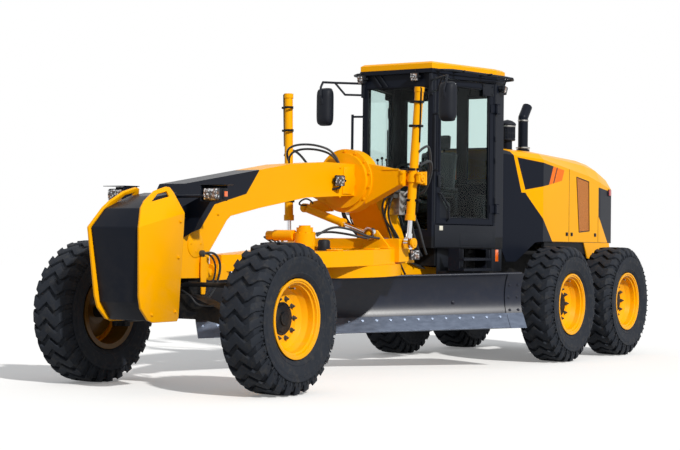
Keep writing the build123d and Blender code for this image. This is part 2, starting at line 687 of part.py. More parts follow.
def door(side):
    body = door_shell(0, CAB_WALL, DOOR_GAP)
    g = DOOR_GAP + FRAME_IN
    body -= side_region(DOOR_S[0] + g, DOOR_S[1] - g, DOOR_Z[0] + g, DOOR_Z[1] - g)
    body += door_eyes()
    return one(body if side > 0 else mirrored(body))


def door_glass(side):
    body = door_shell(20, 20 + GLASS_T, DOOR_GAP + FRAME_IN + SEAT_GAP)
    return one(body if side > 0 else mirrored(body))


def cab_floor():
    """Floor on two cross mounts over the front frame's legs, with a box under its rear corners."""
    body = plan_profile(cab_outline(0), FLOOR_Z0, FLOOR_Z1)
    for y, seat_z in ((3950, 1113.4), (4650, 1069.4)):
        body += slab(-400, 400, y - 45, y + 45, seat_z + SEAT_GAP, FLOOR_Z0)
    for side in (1, -1):
        body += slab(side * 560, side * 690, 4760, 4946, 1050, FLOOR_Z0)
    return one(body)


def roof_outline(grow=0.0):
    f, h, w = CAB_FRONT_Y - 40 - grow, CAB_FRONT_HALF + 8 + grow, CAB_REAR_HALF + 6 + grow
    return [(-h, f), (h, f), (w, CAB_SIDE_Y), (w, CAB_REAR_Y + 6), (-w, CAB_REAR_Y + 6), (-w, CAB_SIDE_Y)]


def cab_roof():
    """Cap with a bevelled upper edge over the black brim."""
    low = plan_profile(roof_outline(), ROOF_LOW_Z + SEAT_GAP, ROOF_TOP_Z)
    edges = low.edges().group_by(Axis.Z)[-1]
    return one(chamfer(edges, 22, 34))


def seat():
    x, y = 0, 4420
    body = slab(-190, 190, y - 180, y + 180, FLOOR_Z1, 1700)
    body += slab(-255, 255, y - 270, y + 250, 1700, 1850)
    body += side_profile([(y + 130, 1850), (y + 250, 1850), (y + 330, 2420), (y + 250, 2440)], -240, 240)
    body += side_profile([(y + 255, 2440), (y + 325, 2420), (y + 345, 2620), (y + 290, 2630)], -130, 130)
    return one(body)


def console():
    y = 3980
    body = slab(-90, 90, y - 90, y + 60, FLOOR_Z1, 2020)
    body += bar((0, y + 40, 2000), (0, y + 120, 2130), 35)
    wheel = Plane(origin=(0, y + 130, 2146), z_dir=(0, 0.52, 0.85)) * Torus(190, 14)
    body += Plane(origin=(0, y + 120, 2130), z_dir=(0, 0.52, 0.85)) * Box(370, 40, 20)
    body += wheel
    for side in (1, -1):
        body += slab(side * 90, side * 300, y - 60, y + 30, 1980, 2040)
        body += slab(side * 200, side * 300, y - 60, y + 30, 1980, 2160)
    return one(body)


def mirrors():
    """Left head on its looped arm, hung under the roof's brim; the right one is its mirror image."""
    x0, x1, y, z0, z1 = 690.0, 890.0, 3450.0, 2670.0, 3095.0
    outline = [(y - 52, z0 + 46), (y - 52, z1 - 46), (y - 16, z1), (y + 50, z1), (y + 50, z0), (y - 16, z0)]
    head = side_profile(outline, x0, x1)
    head = chamfer(head.edges().filter_by(Axis.Y), 30)
    y_front = CAB_FRONT_Y - 20
    arm = slab(420, 458, CAB_FRONT_Y - 36, CAB_FRONT_Y - SEAT_GAP, 2990, CAB_TOP_Z - 20 - SEAT_GAP)
    arm += bar((440, y_front, 3150), (800, y - 6, 3158), 14)
    arm += bar((440, y_front, 3020), (604, y + 141, 3025), 12)
    arm += bar((597, y + 147, 3018), (692, y + 73, 3156), 13)
    arm += bar((784, y + 2, 3168), (856, y, 3070), 15)
    return both(one(head + arm))


def steps():
    """Two treads between side plates, hung from the cab floor."""
    body = None
    for z in (1060, 1175):
        tread = slab(560, 760, 3930, 4560, z, z + 25)
        body = tread if body is None else body + tread
    for y in (3930, 4546):
        body += slab(560, 700, y, y + 14, 1060, FLOOR_Z0 - SEAT_GAP)
    return both(one(body))


# Rear machine

def rear_frame():
    body = None
    for side in (1, -1):
        rail = side_profile([(5200, 800), (5200, 1060), (5500, 1250), (7950, 1250), (7950, 900), (5600, 900)],
                            side * 300, side * 400)
        body = rail if body is None else body + rail
    body += slab(-300, 300, 5200, 5330, 800, 1060)
    tongue = slab(-140, 140, PIVOT_Y, 5260, 835 + 5, 985 - 5)
    tongue += Pos(0, PIVOT_Y, 910) * Cylinder(140, 140)
    tongue -= Pos(0, PIVOT_Y, 910) * Cylinder(PIVOT_R + PIN_GAP, 400)
    body += tongue
    body += slab(-300, 300, 7000, 7100, 960, 1250)
    body += slab(-560, 560, 7860, HITCH_Y - 34, 900, 1340)
    # tow hitch: two ears with one upright hole
    for z0 in (HITCH_Z0, HITCH_Z1 - HITCH_T):
        body += slab(-55, 55, HITCH_Y - 60, TAIL_Y, z0, z0 + HITCH_T)
    body -= Pos(0, HITCH_Y, (HITCH_Z0 + HITCH_Z1) / 2) * Cylinder(HITCH_R, HITCH_Z1 - HITCH_Z0 + 40)
    edge = HOOD_WALL + SEAT_GAP
    deck = [(-hood_half(5480) + edge, 5480), (hood_half(5480) - edge, 5480), (HOOD_HALF - edge, HOOD_WIDE_Y + 60),
            (HOOD_HALF - edge, 7900), (-HOOD_HALF + edge, 7900), (-HOOD_HALF + edge, HOOD_WIDE_Y + 60)]
    body += plan_profile(deck, 1250, DECK_Z)
    y0, y1 = HOOD_WIDE_Y + 60, 7550
    for side in (1, -1):
        body += slab(side * (HOOD_HALF - 50), side * (HOOD_HALF - edge), y0, y1, DECK_Z - 10, HOOD_BOTTOM_Z + 30)
    return one(body)


def rear_axle():
    profile = [(0, -600), (150, -600), (150, -560), (115, -560), (115, -260), (215, -120), (215, 120), (115, 260),
               (115, 560), (150, 560), (150, 600), (0, 600)]
    body = turned(profile, (0, WHEELBASE, AXLE_Z))
    for side in (1, -1):
        body += slab(side * 300, side * 400, WHEELBASE - 150, WHEELBASE + 150, AXLE_Z, 900 - SEAT_GAP)
    return one(body)


def tandem_cases():
    half = TANDEM_SPACING / 2
    y0, y1 = WHEELBASE - half, WHEELBASE + half
    x0, x1 = 600.3, 810.0
    case = side_profile([(y0 - 190, 600), (y0 - 190, 780), (WHEELBASE - 260, 850), (WHEELBASE + 260, 850),
                         (y1 + 190, 780), (y1 + 190, 600), (y1, 500), (y0, 500)], x0, x1)
    for y in (y0, y1):
        case += bar((x1, y, AXLE_Z), (TRACK / 2 - 31, y, AXLE_Z), 100)
        case += bar((x1, y, AXLE_Z), (TRACK / 2 + 60, y, AXLE_Z), SPINDLE_R)
    return both(one(case))


def engine_block():
    return one(slab(-340, 340, 5650, 7150, DECK_Z + SEAT_GAP, 2150))


def hood_half(y):
    share = (y - HOOD_FRONT_Y) / (HOOD_WIDE_Y - HOOD_FRONT_Y)
    return HOOD_FRONT_HALF + (HOOD_HALF - HOOD_FRONT_HALF) * min(share, 1.0)


def hood_section(y, half, shoulder, z_side, z_top, bottom, shrink):
    h, s = half - shrink, shoulder - shrink * 0.6
    side, top = z_side - shrink * 0.5, z_top - shrink
    mid = (h - (h - s) * 0.38, side + (top - side) * 0.66)
    pts = [(-h, bottom), (h, bottom), (h, side), mid, (s, top), (-s, top), (-mid[0], mid[1]), (-h, side)]
    return make_face(Polyline(*[Vector(x, y, z) for x, z in pts], close=True))


def hood_volume(bottom, shrink, trim=0.0):
    body = None
    last = len(HOOD_SECTIONS) - 2
    for i, (a, b) in enumerate(zip(HOOD_SECTIONS[:-1], HOOD_SECTIONS[1:])):
        y0 = a[0] - (trim if i == 0 else 0)
        y1 = b[0] - (trim if i == last else 0)
        piece = loft([hood_section(y0, *a[1:], bottom, shrink), hood_section(y1, *b[1:], bottom, shrink)], ruled=True)
        body = piece if body is None else body + piece
    return body


def hood_shell(bottom=HOOD_BOTTOM_Z):
    """The sheet of the hood, open below and at the front."""
    return hood_volume(bottom, 0.0) - hood_volume(bottom - 10, HOOD_WALL, HOOD_WALL)


def shroud_region():
    """Side view of the black front covers, with the seam to the hood behind and the wheel's arch below."""
    y = HOOD_FRONT_Y - 60
    return side_profile([(y, 1480), (5330, SHROUD_Z), (5480, SHROUD_Z), (5778, 1390), (5900, HOOD_BOTTOM_Z),
                         (6160, HOOD_BOTTOM_Z), (5640, 1950), (5560, 2080), (5565, 2425), (y, 2515)], -900, 900)


def tail_region():
    return side_profile([(7500, 2110), (7503, 1740), (7880, 1360), (TAIL_Y + 100, 1345), (TAIL_Y + 100, 2060),
                         (7900, 2072)], -900, 900)


def vent_region(side, g=0.0):
    outline = [(6915, 1530), (7220, 1550), (7195, 2170), (6830, 2215)]
    solid = side_profile(outline, side * 600, side * 900)
    return offset(solid, amount=-g, kind=Kind.INTERSECTION) if g else solid


def hood():
    body = hood_shell() - shroud_region() - tail_region() - vent_region(1) - vent_region(-1)
    for side in (1, -1):
        body += side_profile([(SKIRT_Y + 110, SKIRT_Z), (SKIRT_Y, HOOD_BOTTOM_Z), (7840, HOOD_BOTTOM_Z), (7900, SKIRT_Z)],
                             side * (HOOD_HALF - HOOD_WALL), side * HOOD_HALF)
    return one(body)


def side_shrouds():
    return one(hood_shell(SHROUD_Z) & shroud_region())


def tail_panel():
    return one(hood_shell() & tail_region())


def side_vents():
    solids = [one(hood_shell() & vent_region(side, SEAT_GAP)) for side in (1, -1)]
    return Compound(children=solids)


def on_hood(body):
    """Cuts a stack's foot to the hood's sloping top."""
    return body - Pos(0, 0, SEAT_GAP) * hood_volume(HOOD_BOTTOM_Z, 0.0)


def exhaust():
    x, y = 420, 6000
    body = Pos(x, y, 2660) * Cylinder(60, 490)
    body += Pos(x, y, 2490) * Cylinder(80, 60)
    body += Pos(x, y, 2905) * Sphere(60)
    body += bar((x, y, 2905), (x, y + 110, 3045), 60)
    return one(on_hood(body))


def precleaner():
    x, y = 340, 5740
    body = Pos(x, y, 2540) * Cylinder(60, 160)
    body += Pos(x, y, 2700) * Cylinder(92, 180)
    body += Pos(x, y, 2815) * Cylinder(70, 50)
    return one(on_hood(body))


def main():
    os.makedirs("parts", exist_ok=True)
    wheels()
    write("front_axle", front_axle())
    for side, name in ((1, "left"), (-1, "right")):
        write("lean_bracket_" + name, lean_bracket(side))
        write("knuckle_" + name, knuckle(side))
        write("lift_barrel_" + name, lift_barrel(side))
        write("lift_rod_" + name, lift_rod(side))
        write("door_" + name, door(side))
        write("door_glass_" + name, door_glass(side))
    write("lean_bar", lean_bar())
    write("tie_rod_end", tie_rod_end())
    write("tie_rod", tie_rod())
    write("front_frame", front_frame())
    write("front_guards", front_guards())
    write("front_panel", front_panel())
    write("headlamps", headlamps())
    write("saddle", saddle())
    write("shift_barrel", shift_barrel())
    write("shift_rod", shift_rod())
    write("drawbar", drawbar())
    write("circle_drive", circle_drive())
    write("circle", circle())
    write("blade_carrier", blade_carrier())
    write("moldboard", moldboard())
    write("cutting_edge", cutting_edge())
    write("cab_floor", cab_floor())
    write("cab_frame", cab_frame())
    write("cab_glass", cab_glass())
    write("cab_roof", cab_roof())
    write("seat", seat())
    write("console", console())
    write("mirrors", mirrors())
    write("steps", steps())
    write("rear_frame", rear_frame())
    write("rear_axle", rear_axle())
    write("tandem_cases", tandem_cases())
    write("engine_block", engine_block())
    write("hood", hood())
    write("side_shrouds", side_shrouds())
    write("tail_panel", tail_panel())
    write("side_vents", side_vents())
    write("exhaust", exhaust())
    write("precleaner", precleaner())


main()
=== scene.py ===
"""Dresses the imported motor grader: paint, rubber, glass and the small pieces that the frame leaves out.

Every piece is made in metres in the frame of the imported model. Places along the machine are written as
distances behind the front axle, as on a maker's drawing, and STATION or `spot` turns them into that frame.
"""

import math

import bmesh
import bpy
from mathutils import Matrix, Vector


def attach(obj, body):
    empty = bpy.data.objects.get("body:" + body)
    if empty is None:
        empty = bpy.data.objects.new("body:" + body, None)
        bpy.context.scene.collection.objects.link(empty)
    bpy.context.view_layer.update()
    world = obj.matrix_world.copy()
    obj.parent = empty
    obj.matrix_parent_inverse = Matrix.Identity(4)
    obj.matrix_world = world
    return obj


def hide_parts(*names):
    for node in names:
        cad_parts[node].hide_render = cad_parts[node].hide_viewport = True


bl_info = {
    "name": "Motor grader",
    "version": (1, 0, 0),
    "blender": (4, 5, 0),
    "location": "3D View > Sidebar > Grader",
    "description": "Paints the packed grader and adds its fittings",
    "category": "Add Mesh",
}

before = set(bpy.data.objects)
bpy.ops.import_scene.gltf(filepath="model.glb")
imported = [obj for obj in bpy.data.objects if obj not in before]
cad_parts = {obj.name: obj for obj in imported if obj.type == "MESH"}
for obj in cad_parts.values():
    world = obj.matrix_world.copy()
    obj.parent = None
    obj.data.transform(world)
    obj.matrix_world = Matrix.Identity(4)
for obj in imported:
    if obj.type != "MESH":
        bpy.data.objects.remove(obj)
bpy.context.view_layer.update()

FULL_TURN = 2 * math.pi
AXLE_TO_MIDDLE = 3.517      # the machine's middle lies this far behind the front axle
GROUP_PITCH = math.radians(2.0)
BALL = (0.0, 0.385, 1.060)  # the drawbar's ball
CIRCLE_Y = 2.5
BLADE_YAW = math.radians(50.0)
TRACK_HALF = 1.078
WHEEL_Z = 0.674
WHEELS = {                  # name: side, distance behind the front axle
    "front_left": (1, 0.0), "front_right": (-1, 0.0),
    "mid_left": (1, 5.63), "mid_right": (-1, 5.63),
    "rear_left": (1, 7.25), "rear_right": (-1, 7.25),
}
X_AXIS, Z_AXIS = (1, 0, 0), (0, 0, 1)

STATION = Matrix.Translation((0, -AXLE_TO_MIDDLE, 0))
GROUP = (STATION @ Matrix.Translation(BALL) @ Matrix.Rotation(GROUP_PITCH, 4, "X")
         @ Matrix.Translation(-Vector(BALL)))
BLADE = GROUP @ Matrix.Translation((0, CIRCLE_Y, 0)) @ Matrix.Rotation(BLADE_YAW, 4, "Z")
CAB_SIDE = (STATION @ Matrix.Translation((0.455, 3.740, 0))
            @ Matrix.Rotation(-math.atan2(0.245, 1.010), 4, "Z"))
OTHER_SIDE = Matrix.Scale(-1, 4, X_AXIS)


def spot(x, y, z):
    """A place x to the machine's left, y behind the front axle, z above the ground."""
    return Vector((x, y - AXLE_TO_MIDDLE, z))


def facing(place, direction):
    """Stands a shape drawn upright on Z at a place, pointing in a direction."""
    return Matrix.Translation(place) @ Vector(direction).to_track_quat("Z", "Y").to_matrix().to_4x4()


def both_sides(place=STATION):
    """The same place on the left and on the right."""
    return place, OTHER_SIDE @ place


def turned_places(count, axis, start=0.0):
    """Turns about an axis that share out a full turn, the first by a part of a step."""
    return [Matrix.Rotation(FULL_TURN * (i + start) / count, 4, axis) for i in range(count)]


# ---------------------------------------------------------------- shader maths

class Value:
    """A socket in a material. Arithmetic on it adds the Math nodes."""

    def __init__(self, finish, socket):
        self.finish, self.socket = finish, socket

    def math(self, operation, *others):
        return self.finish.node("ShaderNodeMath", {"operation": operation}, dict(enumerate((self,) + others)))

    def __add__(self, other):
        return self.math("ADD", other)

    def __sub__(self, other):
        return self.math("SUBTRACT", other)

    def __rsub__(self, other):
        return self.math("MULTIPLY", -1.0).math("ADD", other)

    def __mul__(self, other):
        return self.math("MULTIPLY", other)

    def __truediv__(self, other):
        return self.math("DIVIDE", other)

    __radd__, __rmul__ = __add__, __mul__

    def over(self, limit, soft=0.003):
        """0 below the limit and 1 above it, with a soft step."""
        return ((self - (limit - soft)) / (2 * soft)).clamped()

    def under(self, limit, soft=0.003):
        return 1 - self.over(limit, soft)

    def clamped(self):
        return self.finish.node("ShaderNodeClamp", {}, {0: self})


class Nodes:
    """A node tree that is built node by node."""

    def __init__(self, owner):
        owner.use_nodes = True
        self.tree = owner.node_tree
        self.tree.nodes.clear()

    def output(self, kind, name):
        """One output of a node that needs no settings."""
        return Value(self, self.tree.nodes.new(kind).outputs[name])

    def fill(self, sockets, values):
        """Gives sockets their values or links."""
        for key, value in values.items():
            socket = sockets[key]
            if isinstance(value, Value):
                self.tree.links.new(value.socket, socket)
            else:
                colour = socket.type == "RGBA" and len(value) == 3
                socket.default_value = tuple(value) + (1.0,) if colour else value

    def node(self, kind, settings, sockets, output=0):
        """Adds a node: its settings first, then values or links for its sockets."""
        made = self.tree.nodes.new(kind)
        for key, value in settings.items():
            setattr(made, key, value)
        self.fill(made.inputs, sockets)
        return Value(self, made.outputs[output] if len(made.outputs) else None)

    def seen(self):
        """1 where the eye looks, straight or by a reflection or through glass, and 0 for lighting."""
        path = self.tree.nodes.new("ShaderNodeLightPath").outputs
        eye, glossy, through, depth = (Value(self, path[name]) for name in (
            "Is Camera Ray", "Is Glossy Ray", "Is Transmission Ray", "Diffuse Depth"))
        return eye.math("MAXIMUM", glossy).math("MAXIMUM", through) * depth.math("LESS_THAN", 0.5)


class Finish(Nodes):
    """One material round a Principled shader."""

    def __init__(self, name):
        self.material = bpy.data.materials.new(name)
        super().__init__(self.material)
        shader = self.tree.nodes.new("ShaderNodeBsdfPrincipled")
        self.inputs = shader.inputs
        self.node("ShaderNodeOutputMaterial", {}, {0: Value(self, shader.outputs[0])})
        self.place = self.output("ShaderNodeTexCoord", "Object")
        split = self.tree.nodes.new("ShaderNodeSeparateXYZ")
        self.fill(split.inputs, {0: self.place})
        self.x, self.y, self.z = (Value(self, out) for out in split.outputs)

    @property
    def station(self):
        """The distance behind the front axle."""
        return self.y + AXLE_TO_MIDDLE

    def set(self, **sockets):
        """Values or links for the shader's own sockets, spaces written as underscores."""
        self.fill(self.inputs, {key.replace("_", " "): value for key, value in sockets.items()})
        return self

    def mix(self, factor, first, second):
        """First colour at factor 0, second at factor 1."""
        return self.node("ShaderNodeMix", {"data_type": "RGBA"}, {0: factor, 6: first, 7: second}, 2)

    def over_paint(self, mask, colour):
        """Lays a colour over what the base colour is, where a mask is 1."""
        base = Value(self, self.inputs["Base Color"].links[0].from_socket)
        return self.set(Base_Color=self.mix(mask, base, colour))

    def mapped(self, place, **sockets):
        names = {"turn": 2, "stretch": 3}
        return self.node("ShaderNodeMapping", {}, {0: place, **{names[k]: v for k, v in sockets.items()}})

    def noise(self, scale, detail=2.0, roughness=0.5, stretch=(1, 1, 1), place=None):
        """Noise with features about one over scale metres apart."""
        where = self.mapped(place or self.place, stretch=stretch)
        return self.node("ShaderNodeTexNoise", {}, {"Vector": where, "Scale": scale, "Detail": detail,
                                                    "Roughness": roughness})

    def waves(self, first, second, pitch):
        """Dots in rows: the product of two sines, one wave per pitch."""
        return (first * (FULL_TURN / pitch)).math("SINE") * (second * (FULL_TURN / pitch)).math("SINE")

    def facing_up(self):
        """1 on level tops, 0 on walls and undersides."""
        normal = self.output("ShaderNodeNewGeometry", "Normal")
        return self.node("ShaderNodeSeparateXYZ", {}, {0: normal}, 2).clamped()

    def bump(self, height, strength, distance, edges=0.0):
        sockets = {"Strength": strength, "Distance": distance, "Height": height}
        if edges:
            sockets["Normal"] = self.node("ShaderNodeBevel", {"samples": 4}, {"Radius": edges})
        return self.set(Normal=self.node("ShaderNodeBump", {}, sockets))


def linear(red, green, blue):
    """A colour as seen on a screen, 0 to 255, as the light it stands for."""
    def channel(value):
        value /= 255.0
        return value / 12.92 if value <= 0.04045 else ((value + 0.055) / 1.055) ** 2.4
    return channel(red), channel(green), channel(blue)


def shade(colour, share):
    return tuple(c * share for c in colour)


AMBER = linear(255, 176, 0)
CHARCOAL = linear(24, 28, 38)
DUST = linear(150, 138, 120)


def painted(name, colour=AMBER, roughness=0.30, dust=0.12, coat=0.03, gloss=0.09):
    """Sprayed steel: an even coat with faint orange peel, and dust low down and on ledges."""
    f = Finish(name)
    low = (1.5 - f.z).clamped() * 0.7 + f.facing_up() * 0.25
    grime = (low * f.noise(7.0, 6.0, 0.65).over(0.56, 0.12) * dust).clamped()
    f.set(Base_Color=f.mix(grime, f.mix(f.noise(1.3, 3.0), colour, shade(colour, 0.92)), DUST),
          Roughness=roughness + grime * 0.35 + f.noise(40) * 0.06,
          Specular_IOR_Level=gloss, Coat_Weight=coat, Coat_Roughness=0.28)
    return f.bump(f.noise(260), 0.05, 0.001, 0.006)


def wheel_paint(name):
    """Amber rims, darkened brown on the side that faces the machine: painted shade, with some road dirt."""
    f = painted(name, coat=0.05, gloss=0.14)
    # painted shade, with some road dirt: the rim's inboard side is mixed towards dark brown
    inner = f.x.math("ABSOLUTE").under(TRACK_HALF + 0.008, 0.004)
    return f.over_paint((inner * (0.84 + f.noise(9.0, 4.0, 0.6) * 0.14)).clamped(), linear(58, 44, 24))


def frame_paint(name):
    """Amber over the front frame, with the charcoal field on the gooseneck's front."""
    f = painted(name, gloss=0.07)
    y = f.station

    def edge(at, slope, height):
        return (y - at) * slope + height

    border = edge(-0.225, 0.266, 1.388).math("MAXIMUM", edge(0.038, 1.103, 1.458).math(
        "MINIMUM", edge(0.287, 0.233, 1.698).math("MAXIMUM", edge(0.738, 1.127, 1.803))))
    return f.over_paint((f.z - border).over(0) * (y + (f.x - 0.15) * 0.35).under(0.94), CHARCOAL)


def hood_paint(name, shroud=False):
    """Amber with a charcoal flash and two orange bars on each side; charcoal before the seam on the shroud."""
    f = painted(name, roughness=0.26, gloss=0.06)
    y = f.station
    slant = y + (2.3 - f.z) * 0.52
    upper = f.z - (2.394 - (y - 5.487) * 0.112)
    lower = f.z - (2.014 + (y - 5.616) * 0.172)
    front = y - (5.487 + (2.394 - f.z) * 0.339)
    band = upper.under(0) * lower.over(0) * front.over(0) * f.x.math("ABSOLUTE").over(0.5, 0.004)

    def between(start, end):
        return slant.over(start) * slant.under(end)

    bars = band * (between(6.165, 6.262) + between(6.29, 6.49))
    dark = (band * slant.under(6.165) + band * between(6.262, 6.29)).clamped()
    if shroud:
        seam = ((2.406 - f.z) * 0.288 + 5.435).math("MAXIMUM", (1.98 - f.z) * 60 + 5.56)
        dark = dark.math("MAXIMUM", (y - seam).under(0))
    return f.over_paint(bars.clamped(), linear(255, 116, 14)).over_paint(dark, CHARCOAL)


def blade_paint(name):
    """The mouldboard's charcoal paint, scuffed bright in streaks along its lower half."""
    f = painted(name, linear(24, 30, 46), 0.28, 0.06, coat=0.10, gloss=0.3)
    along = f.mapped(f.place, turn=(0.0, 0.0, -BLADE_YAW))
    wear = f.noise(3.0, 6.0, 0.65, (0.8, 14.0, 14.0), along)
    worn = ((0.62 - f.z).clamped() * 3.0 * wear.over(0.52, 0.14)).clamped() * 0.6
    return f.over_paint(worn, linear(120, 128, 142)).set(Metallic=worn * 0.6)


def rubber(name):
    """Tyre rubber: blue-black, greyer where the lugs are worn, dusty in the grooves."""
    f = Finish(name)
    patch = f.noise(6.0, 5.0, 0.6)
    base = f.mix(patch, linear(30, 34, 42), linear(43, 47, 54))
    dusty = f.noise(14.0, 6.0, 0.7).over(0.6, 0.1) * 0.3
    f.set(Base_Color=f.mix(dusty, base, linear(86, 82, 76)), Roughness=0.62 + patch * 0.2,
          Specular_IOR_Level=0.14)
    return f.bump(f.noise(120.0, 4.0, 0.6), 0.35, 0.002, 0.004)


def cab_glass(name):
    f = Finish(name)
    return f.set(Base_Color=(0.76, 0.87, 0.85), Transmission_Weight=1.0, IOR=1.16, Specular_IOR_Level=0.2,
                 Roughness=0.01 + f.noise(5.0, 3.0, 0.5, (1, 1, 0.25)) * 0.02)


def polished(name, colour, roughness, spread, scale, detail):
    """Bare bright metal with a faintly uneven polish."""
    f = Finish(name)
    return f.set(Base_Color=colour, Metallic=1.0, Roughness=roughness + f.noise(scale, detail) * spread)


def bolt_steel(name):
    f = Finish(name)
    f.set(Base_Color=f.mix(f.noise(30, 3), (0.45, 0.44, 0.42), (0.25, 0.24, 0.23)), Metallic=1.0,
          Roughness=0.28 + f.noise(90, 3) * 0.15)
    return f.bump(f.noise(400), 0.1, 0.0005, 0.001)


def edge_steel(name):
    f = Finish(name)
    grain = f.noise(9.0, 6.0, 0.7, (1, 1, 3))
    f.set(Base_Color=f.mix(grain, linear(58, 66, 82), linear(110, 120, 138)), Metallic=0.7,
          Roughness=0.30 + grain * 0.25)
    return f.bump(f.noise(70, 4), 0.2, 0.001, 0.004)


def grained(name, dark, pale, grain, roughness, spread, bump, metal=0.0):
    """A matt surface: two tones, roughness and bumps that follow one grain."""
    f = Finish(name)
    grain = f.noise(*grain)
    f.set(Base_Color=f.mix(grain, linear(*dark), linear(*pale)), Roughness=roughness + grain * spread,
          Metallic=metal)
    return f.bump(grain, *bump)


def punched(name, across, pitch, limit, colours, roughness, spread, metal=0.0):
    """Punched sheet: rows of round holes, painted dark inside as their shade."""
    f = Finish(name)
    holes = f.waves(getattr(f, across), f.z, pitch).over(limit, 0.12)
    # painted shade: the holes are dark dots in the colour, drawn on a sheet that has no openings
    f.set(Base_Color=f.mix(holes, *colours), Roughness=roughness + holes * spread, Metallic=metal)
    return f.bump(1 - holes, 0.5, 0.003)


def seat_cloth(name):
    f = Finish(name)
    weave = f.waves(f.x, f.z, 0.006) * 0.5 + 0.5
    f.set(Base_Color=f.mix(weave, linear(34, 36, 40), linear(64, 68, 74)), Roughness=0.85 + weave * 0.1,
          Sheen_Weight=0.3)
    return f.bump(weave, 0.5, 0.001)


def plastic(name, *screen):
    f = Finish(name)
    colour, grain = linear(*screen), f.noise(500.0)
    f.set(Base_Color=f.mix(f.noise(3.0), colour, shade(colour, 0.85)), Roughness=0.5 + grain * 0.1,
          Specular_IOR_Level=0.2)
    return f.bump(grain, 0.15, 0.0008, 0.003)


def lamp_lens(name):
    """The facets of a reflector behind clear plastic, as painted glints: pale and dark facets by turns in the colour,
    with warm brown patches.
    """
    f = Finish(name)
    facets = f.node("ShaderNodeTexVoronoi", {"distance": "CHEBYCHEV"}, {"Vector": f.place, "Scale": 44.0})
    # painted glints: each facet is pale or dark in the base colour, standing for what it reflects
    painted_glint = facets.over(0.34, 0.06)
    warm = f.noise(26.0).over(0.58, 0.05) * 0.6
    base = f.mix(painted_glint, linear(214, 218, 222), linear(70, 68, 70))
    f.set(Base_Color=f.mix(warm, base, linear(150, 112, 84)), Metallic=0.5, Roughness=0.12 + painted_glint * 0.3,
          Coat_Weight=0.4, Coat_Roughness=0.05)
    return f.bump(facets, 0.6, 0.004)


def coloured_lens(name, *screen):
    f = Finish(name)
    colour = linear(*screen)
    ribs = (f.z * (FULL_TURN / 0.012)).math("SINE") * 0.5 + 0.5
    f.set(Base_Color=f.mix(ribs, colour, shade(colour, 0.7)), Roughness=0.15 + ribs * 0.1, Coat_Weight=1.0)
    return f.bump(ribs, 0.3, 0.002)


LOOKS = {   # name: slot, maker, what the maker needs
    "amber_paint": ("yellow_paint", painted),
    "frame_paint": (None, frame_paint),
    "hood_paint": (None, hood_paint),
    "shroud_paint": (None, hood_paint, True),
    "wheel_paint": (None, wheel_paint),
    "charcoal_paint": ("black_paint", painted, CHARCOAL, 0.30, 0.06, 0.04, 0.06),
    "chassis_paint": ("black_paint", painted, linear(22, 24, 28), 0.5, 0.2, 0.0, 0.10),
    "blade_paint": ("blade_steel", blade_paint),
    "edge_steel": ("blade_steel", edge_steel),
    "rubber": ("tyre_rubber", rubber),
    "hose_rubber": ("tyre_rubber", grained, (22, 24, 28), (40, 43, 48), (160.0, 3.0), 0.5, 0.15, (0.2, 0.001)),
    "cab_glass": (None, cab_glass),
    "chrome": ("chrome_rod", polished, (0.72, 0.73, 0.75), 0.08, 0.08, 60, 3),
    "mirror_face": ("glass", polished, (0.85, 0.87, 0.88), 0.03, 0.02, 8, 2),
    "bolt_steel": ("engine_iron", bolt_steel),
    "engine_iron": ("engine_iron", grained, (52, 52, 54), (84, 80, 74), (45.0, 5.0, 0.7), 0.6, 0.2,
                    (0.4, 0.002, 0.004), 0.3),
    "vent_mesh": (None, punched, "y", 0.013, 0.25, (linear(205, 122, 34), linear(120, 70, 22)), 0.5, 0.3, 0.2),
    "tail_mesh": ("black_paint", punched, "x", 0.018, 0.2, (CHARCOAL, (0.002, 0.002, 0.003)), 0.45, 0.4),
    "seat_cloth": ("seat_cloth", seat_cloth),
    "cab_plastic": (None, plastic, 58, 62, 66),
    "lamp_plastic": ("black_paint", plastic, 24, 27, 33),
    "mirror_plastic": ("black_paint", plastic, 22, 26, 35),
    "cab_trim_plastic": ("black_paint", plastic, 20, 24, 32),
    "control_plastic": ("black_paint", plastic, 24, 28, 33),
    "headliner": ("black_paint", plastic, 46, 54, 58),
    "lamp_lens": ("glass", lamp_lens),
    "marker_lens": ("glass", coloured_lens, 255, 110, 10),
    "pale_lens": ("glass", coloured_lens, 235, 232, 214),
    "red_lens": ("glass", coloured_lens, 190, 12, 10),
}
MATERIALS = {}


def material(look):
    """Each finish is made once and shared by its pieces."""
    if look not in MATERIALS:
        maker, *needs = LOOKS[look][1:]
        MATERIALS[look] = maker(look, *needs).material
    return MATERIALS[look]


# ---------------------------------------------------------------- shapes

def box(bm, low, high):
    """A block between two corners."""
    low, high = Vector(low), Vector(high)
    place = Matrix.Translation((low + high) / 2) @ Matrix.Diagonal((*(high - low), 1.0))
    return bmesh.ops.create_cube(bm, size=1.0, matrix=place)["verts"]


def bevel(bm, edges, width, steps):
    bmesh.ops.bevel(bm, geom=edges, offset=width, offset_type="OFFSET", segments=steps, profile=0.5,
                    affect="EDGES", clamp_overlap=True, material=-1)


def block(bm, x0, y0, z0, x1, y1, z1, radius, steps=2):
    """A block between two corners with rounded edges. Its thinnest side keeps a flat strip."""
    ends = [sorted(pair) for pair in ((x0, x1), (y0, y1), (z0, z1))]
    verts = box(bm, *zip(*ends))
    radius = min(radius, 0.45 * min(far - near for near, far in ends))
    bevel(bm, list({e for v in verts for e in v.link_edges}), radius, steps)


def blocks(bm, *rows):
    for row in rows:
        block(bm, *row)


